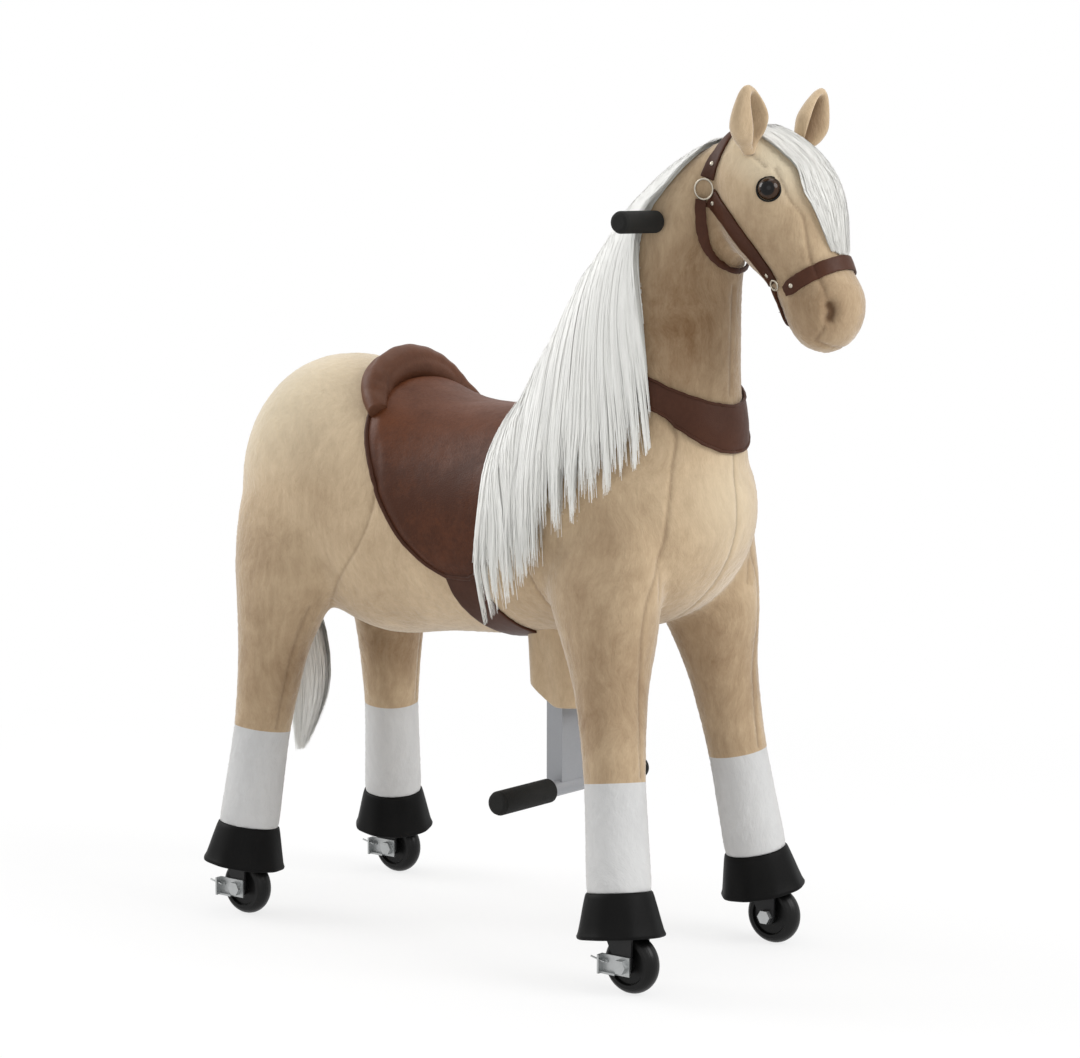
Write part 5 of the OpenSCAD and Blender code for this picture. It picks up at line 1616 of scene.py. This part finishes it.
            def rule(share: float) -> tuple[Vector, Vector]:
                """Gives a point of the strand and its outward direction."""
                t = length * share
                x, z, depth, half = row_at(rows, t)
                way = Vector((math.cos(a + 0.3 * t), math.sin(a + 0.3 * t), 0))
                p = at(x + way.x * depth * r, way.y * half * r, z)
                return p + Vector((0, math.sin(phase + 5 * t), 0)) * (0.003 * t), way
            return rule, draw.uniform(*self.tail_w), draw.uniform(0.75, 1.05)
        self.grow("tail_strands", self.tail_strands, "chassis", plan)


@dataclass
class Hooves:
    """Moulded bell-shaped hooves."""

    top_r: float = 33.5
    rim_r: float = 44.0
    wall: float = 4.0
    facets: int = 9

    def build(self, legs: Sequence[LegLine]) -> None:
        """Makes both front and both rear hooves."""
        for end in ("front", "rear"):
            hooves = joined(f"moulded_hooves_{end}",
                            [self.bell(leg) for leg in legs if leg.front is (end == "front")])
            furnish(hooves, HOOF_PLASTIC, Slot.HOOF, f"{end}_legs", (f"{end}_hooves",))

    def bell(self, leg: LegLine) -> Piece:
        """Spins one hoof on its leg line."""
        r0, r1, h, w = self.rim_r, self.top_r, HOOF_H, self.wall
        profile = [(r1 - 6, h - 1.2), (r1 - 1.6, h), (r1 - 0.2, h - 1.4), (r1 + 1.2, h - 6),
                   (r1 + 3.6, h - 16),
                   (r0 - 3.8, 15), (r0 - 1.9, 7), (r0 - 0.8, 4.4), (r0, 2.6), (r0 - 0.4, 0.8), (r0 - 1.8, 0),
                   (r0 - w, 0.3), (r0 - w - 1.2, 3), (r0 - w - 4, 12), (r1 - w + 1, h - w - 8),
                   (r1 - w, h - w), (13, h - w)]
        bm = bmesh.new()
        verts = [bm.verts.new((r / 1000, 0, z / 1000)) for r, z in profile]
        edges = [bm.edges.new(pair) for pair in zip(verts, verts[1:])]
        bmesh.ops.spin(bm, geom=verts + edges, cent=(0, 0, 0), axis=(0, 0, 1), angle=2 * math.pi, steps=72,
                       use_merge=True, use_duplicate=False)
        bmesh.ops.remove_doubles(bm, verts=bm.verts, dist=1e-6)
        for v in bm.verts:
            a = math.atan2(v.co.y, v.co.x)
            low = ramp(h / 1000, 0.004, v.co.z)
            swell = 1 + low * (0.012 * math.cos(self.facets * a) + 0.012 * math.cos(2 * a))
            v.co.x, v.co.y = v.co.x * swell, v.co.y * swell
        bmesh.ops.recalc_face_normals(bm, faces=bm.faces)
        turn = leg.turn.to_4x4()
        bmesh.ops.transform(bm, matrix=Matrix.Translation(leg.point(0, 0, leg.length)) @ turn, verts=bm.verts)
        return piece_from(bm, "bell")


@dataclass
class PedalSleeve:
    """Plush sleeve that hangs around the pedal post."""

    post_x: float = 86.0
    high: float = -92.0
    low: float = -168.0
    slant: float = 19.0
    square: float = 0.62
    half: tuple[float, float] = (0.037, 0.049)
    fold: float = 0.0032
    rings: int = 14

    def build(self) -> None:
        """Makes the sleeve with its folds and turned hem."""
        stations = []
        depth, width = self.half
        for k in range(self.rings + 1):
            t = k / self.rings
            z = self.high + (self.low - self.high) * t
            grow = 1 - 0.13 * t
            stations.append(Station(at(self.post_x, 0, z), Vector((depth * grow, 0, 0)),
                                    Vector((0, width * grow, 0)), self.square))
        hem = stations[-1]
        for rise, share in ((-0.0006, 0.965), (0.002, 0.91), (0.04, 0.9)):
            stations.append(Station(hem.centre + Vector((0, 0, rise)), hem.across * share, hem.up * share,
                                    self.square))
        bm = bmesh.new()
        loft(bm, stations, 72, closed=False)
        foot = at(self.post_x, 0, self.low)
        for v in bm.verts:
            d = v.co - foot
            a = math.atan2(d.y, d.x)
            fold = math.sin(5 * a + 1.2 * math.sin(2 * a) + 14 * d.z) * self.fold * ramp(0.085, 0.03, d.z)
            sag = 0.002 * math.sin(9 * a + 30 * d.z)
            v.co += Vector((d.x, d.y, 0)).normalized() * (fold + 0.35 * sag)
            share = 1 - d.z * 1000 / (self.high - self.low)
            v.co.z -= share * ramp(-0.028, 0.01, d.x) * self.slant / 1000
        sleeve = modified(piece_from(bm, "pedal_sleeve_plush"), "SUBSURF", levels=1, render_levels=1)
        furnish(sleeve, TAN_PLUSH, Slot.TAN, "chassis", ("pedal_sleeve",))


@dataclass
class Hardware:
    """Finishes of the CAD nodes that stay as they are."""

    finishes: dict[str, Finish] = field(default_factory=lambda: {
        "wheel": WHEEL_RUBBER, "fork": FORK_PAINT, "rear_forks": FORK_PAINT, "axle": ZINC_PLATE,
        "rear_axles": ZINC_PLATE, "stop": ZINC_PLATE, "rear_stop": ZINC_PLATE, "foot_grips": FOAM,
        "handle_grips": FOAM, "pedal_post": PEDAL_PAINT, "foot_bar": PEDAL_PAINT, "hinge_pins": ZINC_PLATE,
        "seat_screws": ZINC_PLATE, "seat_board": BOARD_WOOD, "stem_bushes": BUSH_PLASTIC})

    def build(self) -> None:
        """Dresses every CAD node."""
        for name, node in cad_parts.items():
            found = [k for k in self.finishes if name.startswith(k)]
            WARDROBE.dress(node, self.finishes[max(found, key=len)] if found else FRAME_PAINT)
        LOG.info("CAD nodes dressed")


@dataclass
class Studio:
    """White floor and background, soft lamps and the camera."""

    lens: float = 98.95
    eye: Place = (1.88903, -2.418, 0.79)
    target: Place = (-0.03847, 0.0, 0.45)
    shift: tuple[float, float] = (0.0304, -0.0205)
    lamps: Sequence[tuple[str, Place, float, float]] = (
        ("right", (2.8, 0.5, 2.2), 2.0, 62.0), ("left", (-2.9, -0.9, 2.2), 2.0, 58.0),
        ("top", (-0.3, 0.4, 3.2), 2.6, 24.0), ("front", (1.6, -2.9, 1.4), 2.4, 13.0))
    lamp_aim: float = 0.45
    all_round: float = 0.42
    floor_r: float = 9.0

    def build(self) -> None:
        """Makes camera, lamps, world and floor."""
        scene = bpy.context.scene
        scene.view_settings.view_transform = "Standard"
        camera = bpy.data.cameras.new("photo_camera")
        camera.lens = self.lens
        camera.sensor_width = 36.0
        camera.shift_x, camera.shift_y = self.shift
        holder = linked("photo_camera", camera)
        holder.location = self.eye
        holder.rotation_euler = (Vector(self.target) - Vector(self.eye)).to_track_quat("-Z", "Y").to_euler()
        scene.camera = holder
        for name, place, size, power in self.lamps:
            self.lamp(name, place, size, power)
        self.world()
        self.floor()

    def lamp(self, name: str, place: Place, size: float, power: float) -> None:
        """Adds one soft lamp that faces the object."""
        light = bpy.data.lights.new(name, "AREA")
        light.shape = "DISK"
        light.size = size
        light.energy = power
        obj = linked(name, light)
        obj.location = place
        aim = Vector((0, 0, self.lamp_aim)) - Vector(place)
        obj.rotation_euler = aim.to_track_quat("-Z", "Y").to_euler()

    def seen(self, s: NodeSheet) -> Socket:
        """Gives 1 where a surface is looked at, straight, mirrored or through glass."""
        path = s.add("ShaderNodeLightPath")
        both = s.math("MAXIMUM", path.outputs["Is Camera Ray"], path.outputs["Is Glossy Ray"])
        return s.math("MAXIMUM", both, path.outputs["Is Transmission Ray"])

    def world(self) -> None:
        """Makes a white background and soft light from all around."""
        world = bpy.data.worlds.new("studio")
        world.use_nodes = True
        bpy.context.scene.world = world
        s = NodeSheet(world.node_tree)
        back = world.node_tree.nodes["Background"]
        back.inputs["Color"].default_value = rgba(1.0, 1.0, 1.0)
        s.link(s.span(self.seen(s), 0.0, 1.0, self.all_round, 1.0), back.inputs["Strength"])

    def floor(self) -> None:
        """Makes the pale floor, which keeps the shadow and fades into the background."""
        bm = bmesh.new()
        bmesh.ops.create_circle(bm, cap_ends=True, segments=96, radius=self.floor_r)
        floor = piece_from(bm, "floor", False)
        material, s, shader = new_material("studio_floor")
        shader.inputs["Base Color"].default_value = rgba(0.94, 0.94, 0.94)
        shader.inputs["Roughness"].default_value = 1.0
        shader.inputs["Specular IOR Level"].default_value = 0.0
        where = s.where()
        far = s.add("ShaderNodeVectorMath", {0: where}, operation="LENGTH").outputs["Value"]
        glow = s.add("ShaderNodeEmission", {"Color": rgba(1.0, 1.0, 1.0), "Strength": 1.0})
        share = s.math("MULTIPLY", s.span(far, 0.55, 1.4, 0.78, 1.0), self.seen(s))
        mixed = s.add("ShaderNodeMixShader", {0: share, 1: shader.outputs[0], 2: glow.outputs[0]})
        s.link(mixed.outputs[0], s.tree.nodes["Material Output"].inputs["Surface"])
        floor.data.materials.append(material)


def main() -> None:
    """Builds the horse in order."""
    logging.basicConfig(level=logging.INFO, format="%(message)s")
    Studio().build()
    Hardware().build()
    horse = PlushHorse()
    skin = horse.build()
    Ears().build()
    Eyes().build(skin)
    Saddle().build(skin)
    Collar().build(skin)
    Halter().build(skin, horse)
    Hooves().build(horse.legs)
    PedalSleeve().build()
    hair = Hair()
    hair.mane(skin)
    hair.forelock(skin, horse)
    hair.tail()


if __name__ == "__main__":
    main()
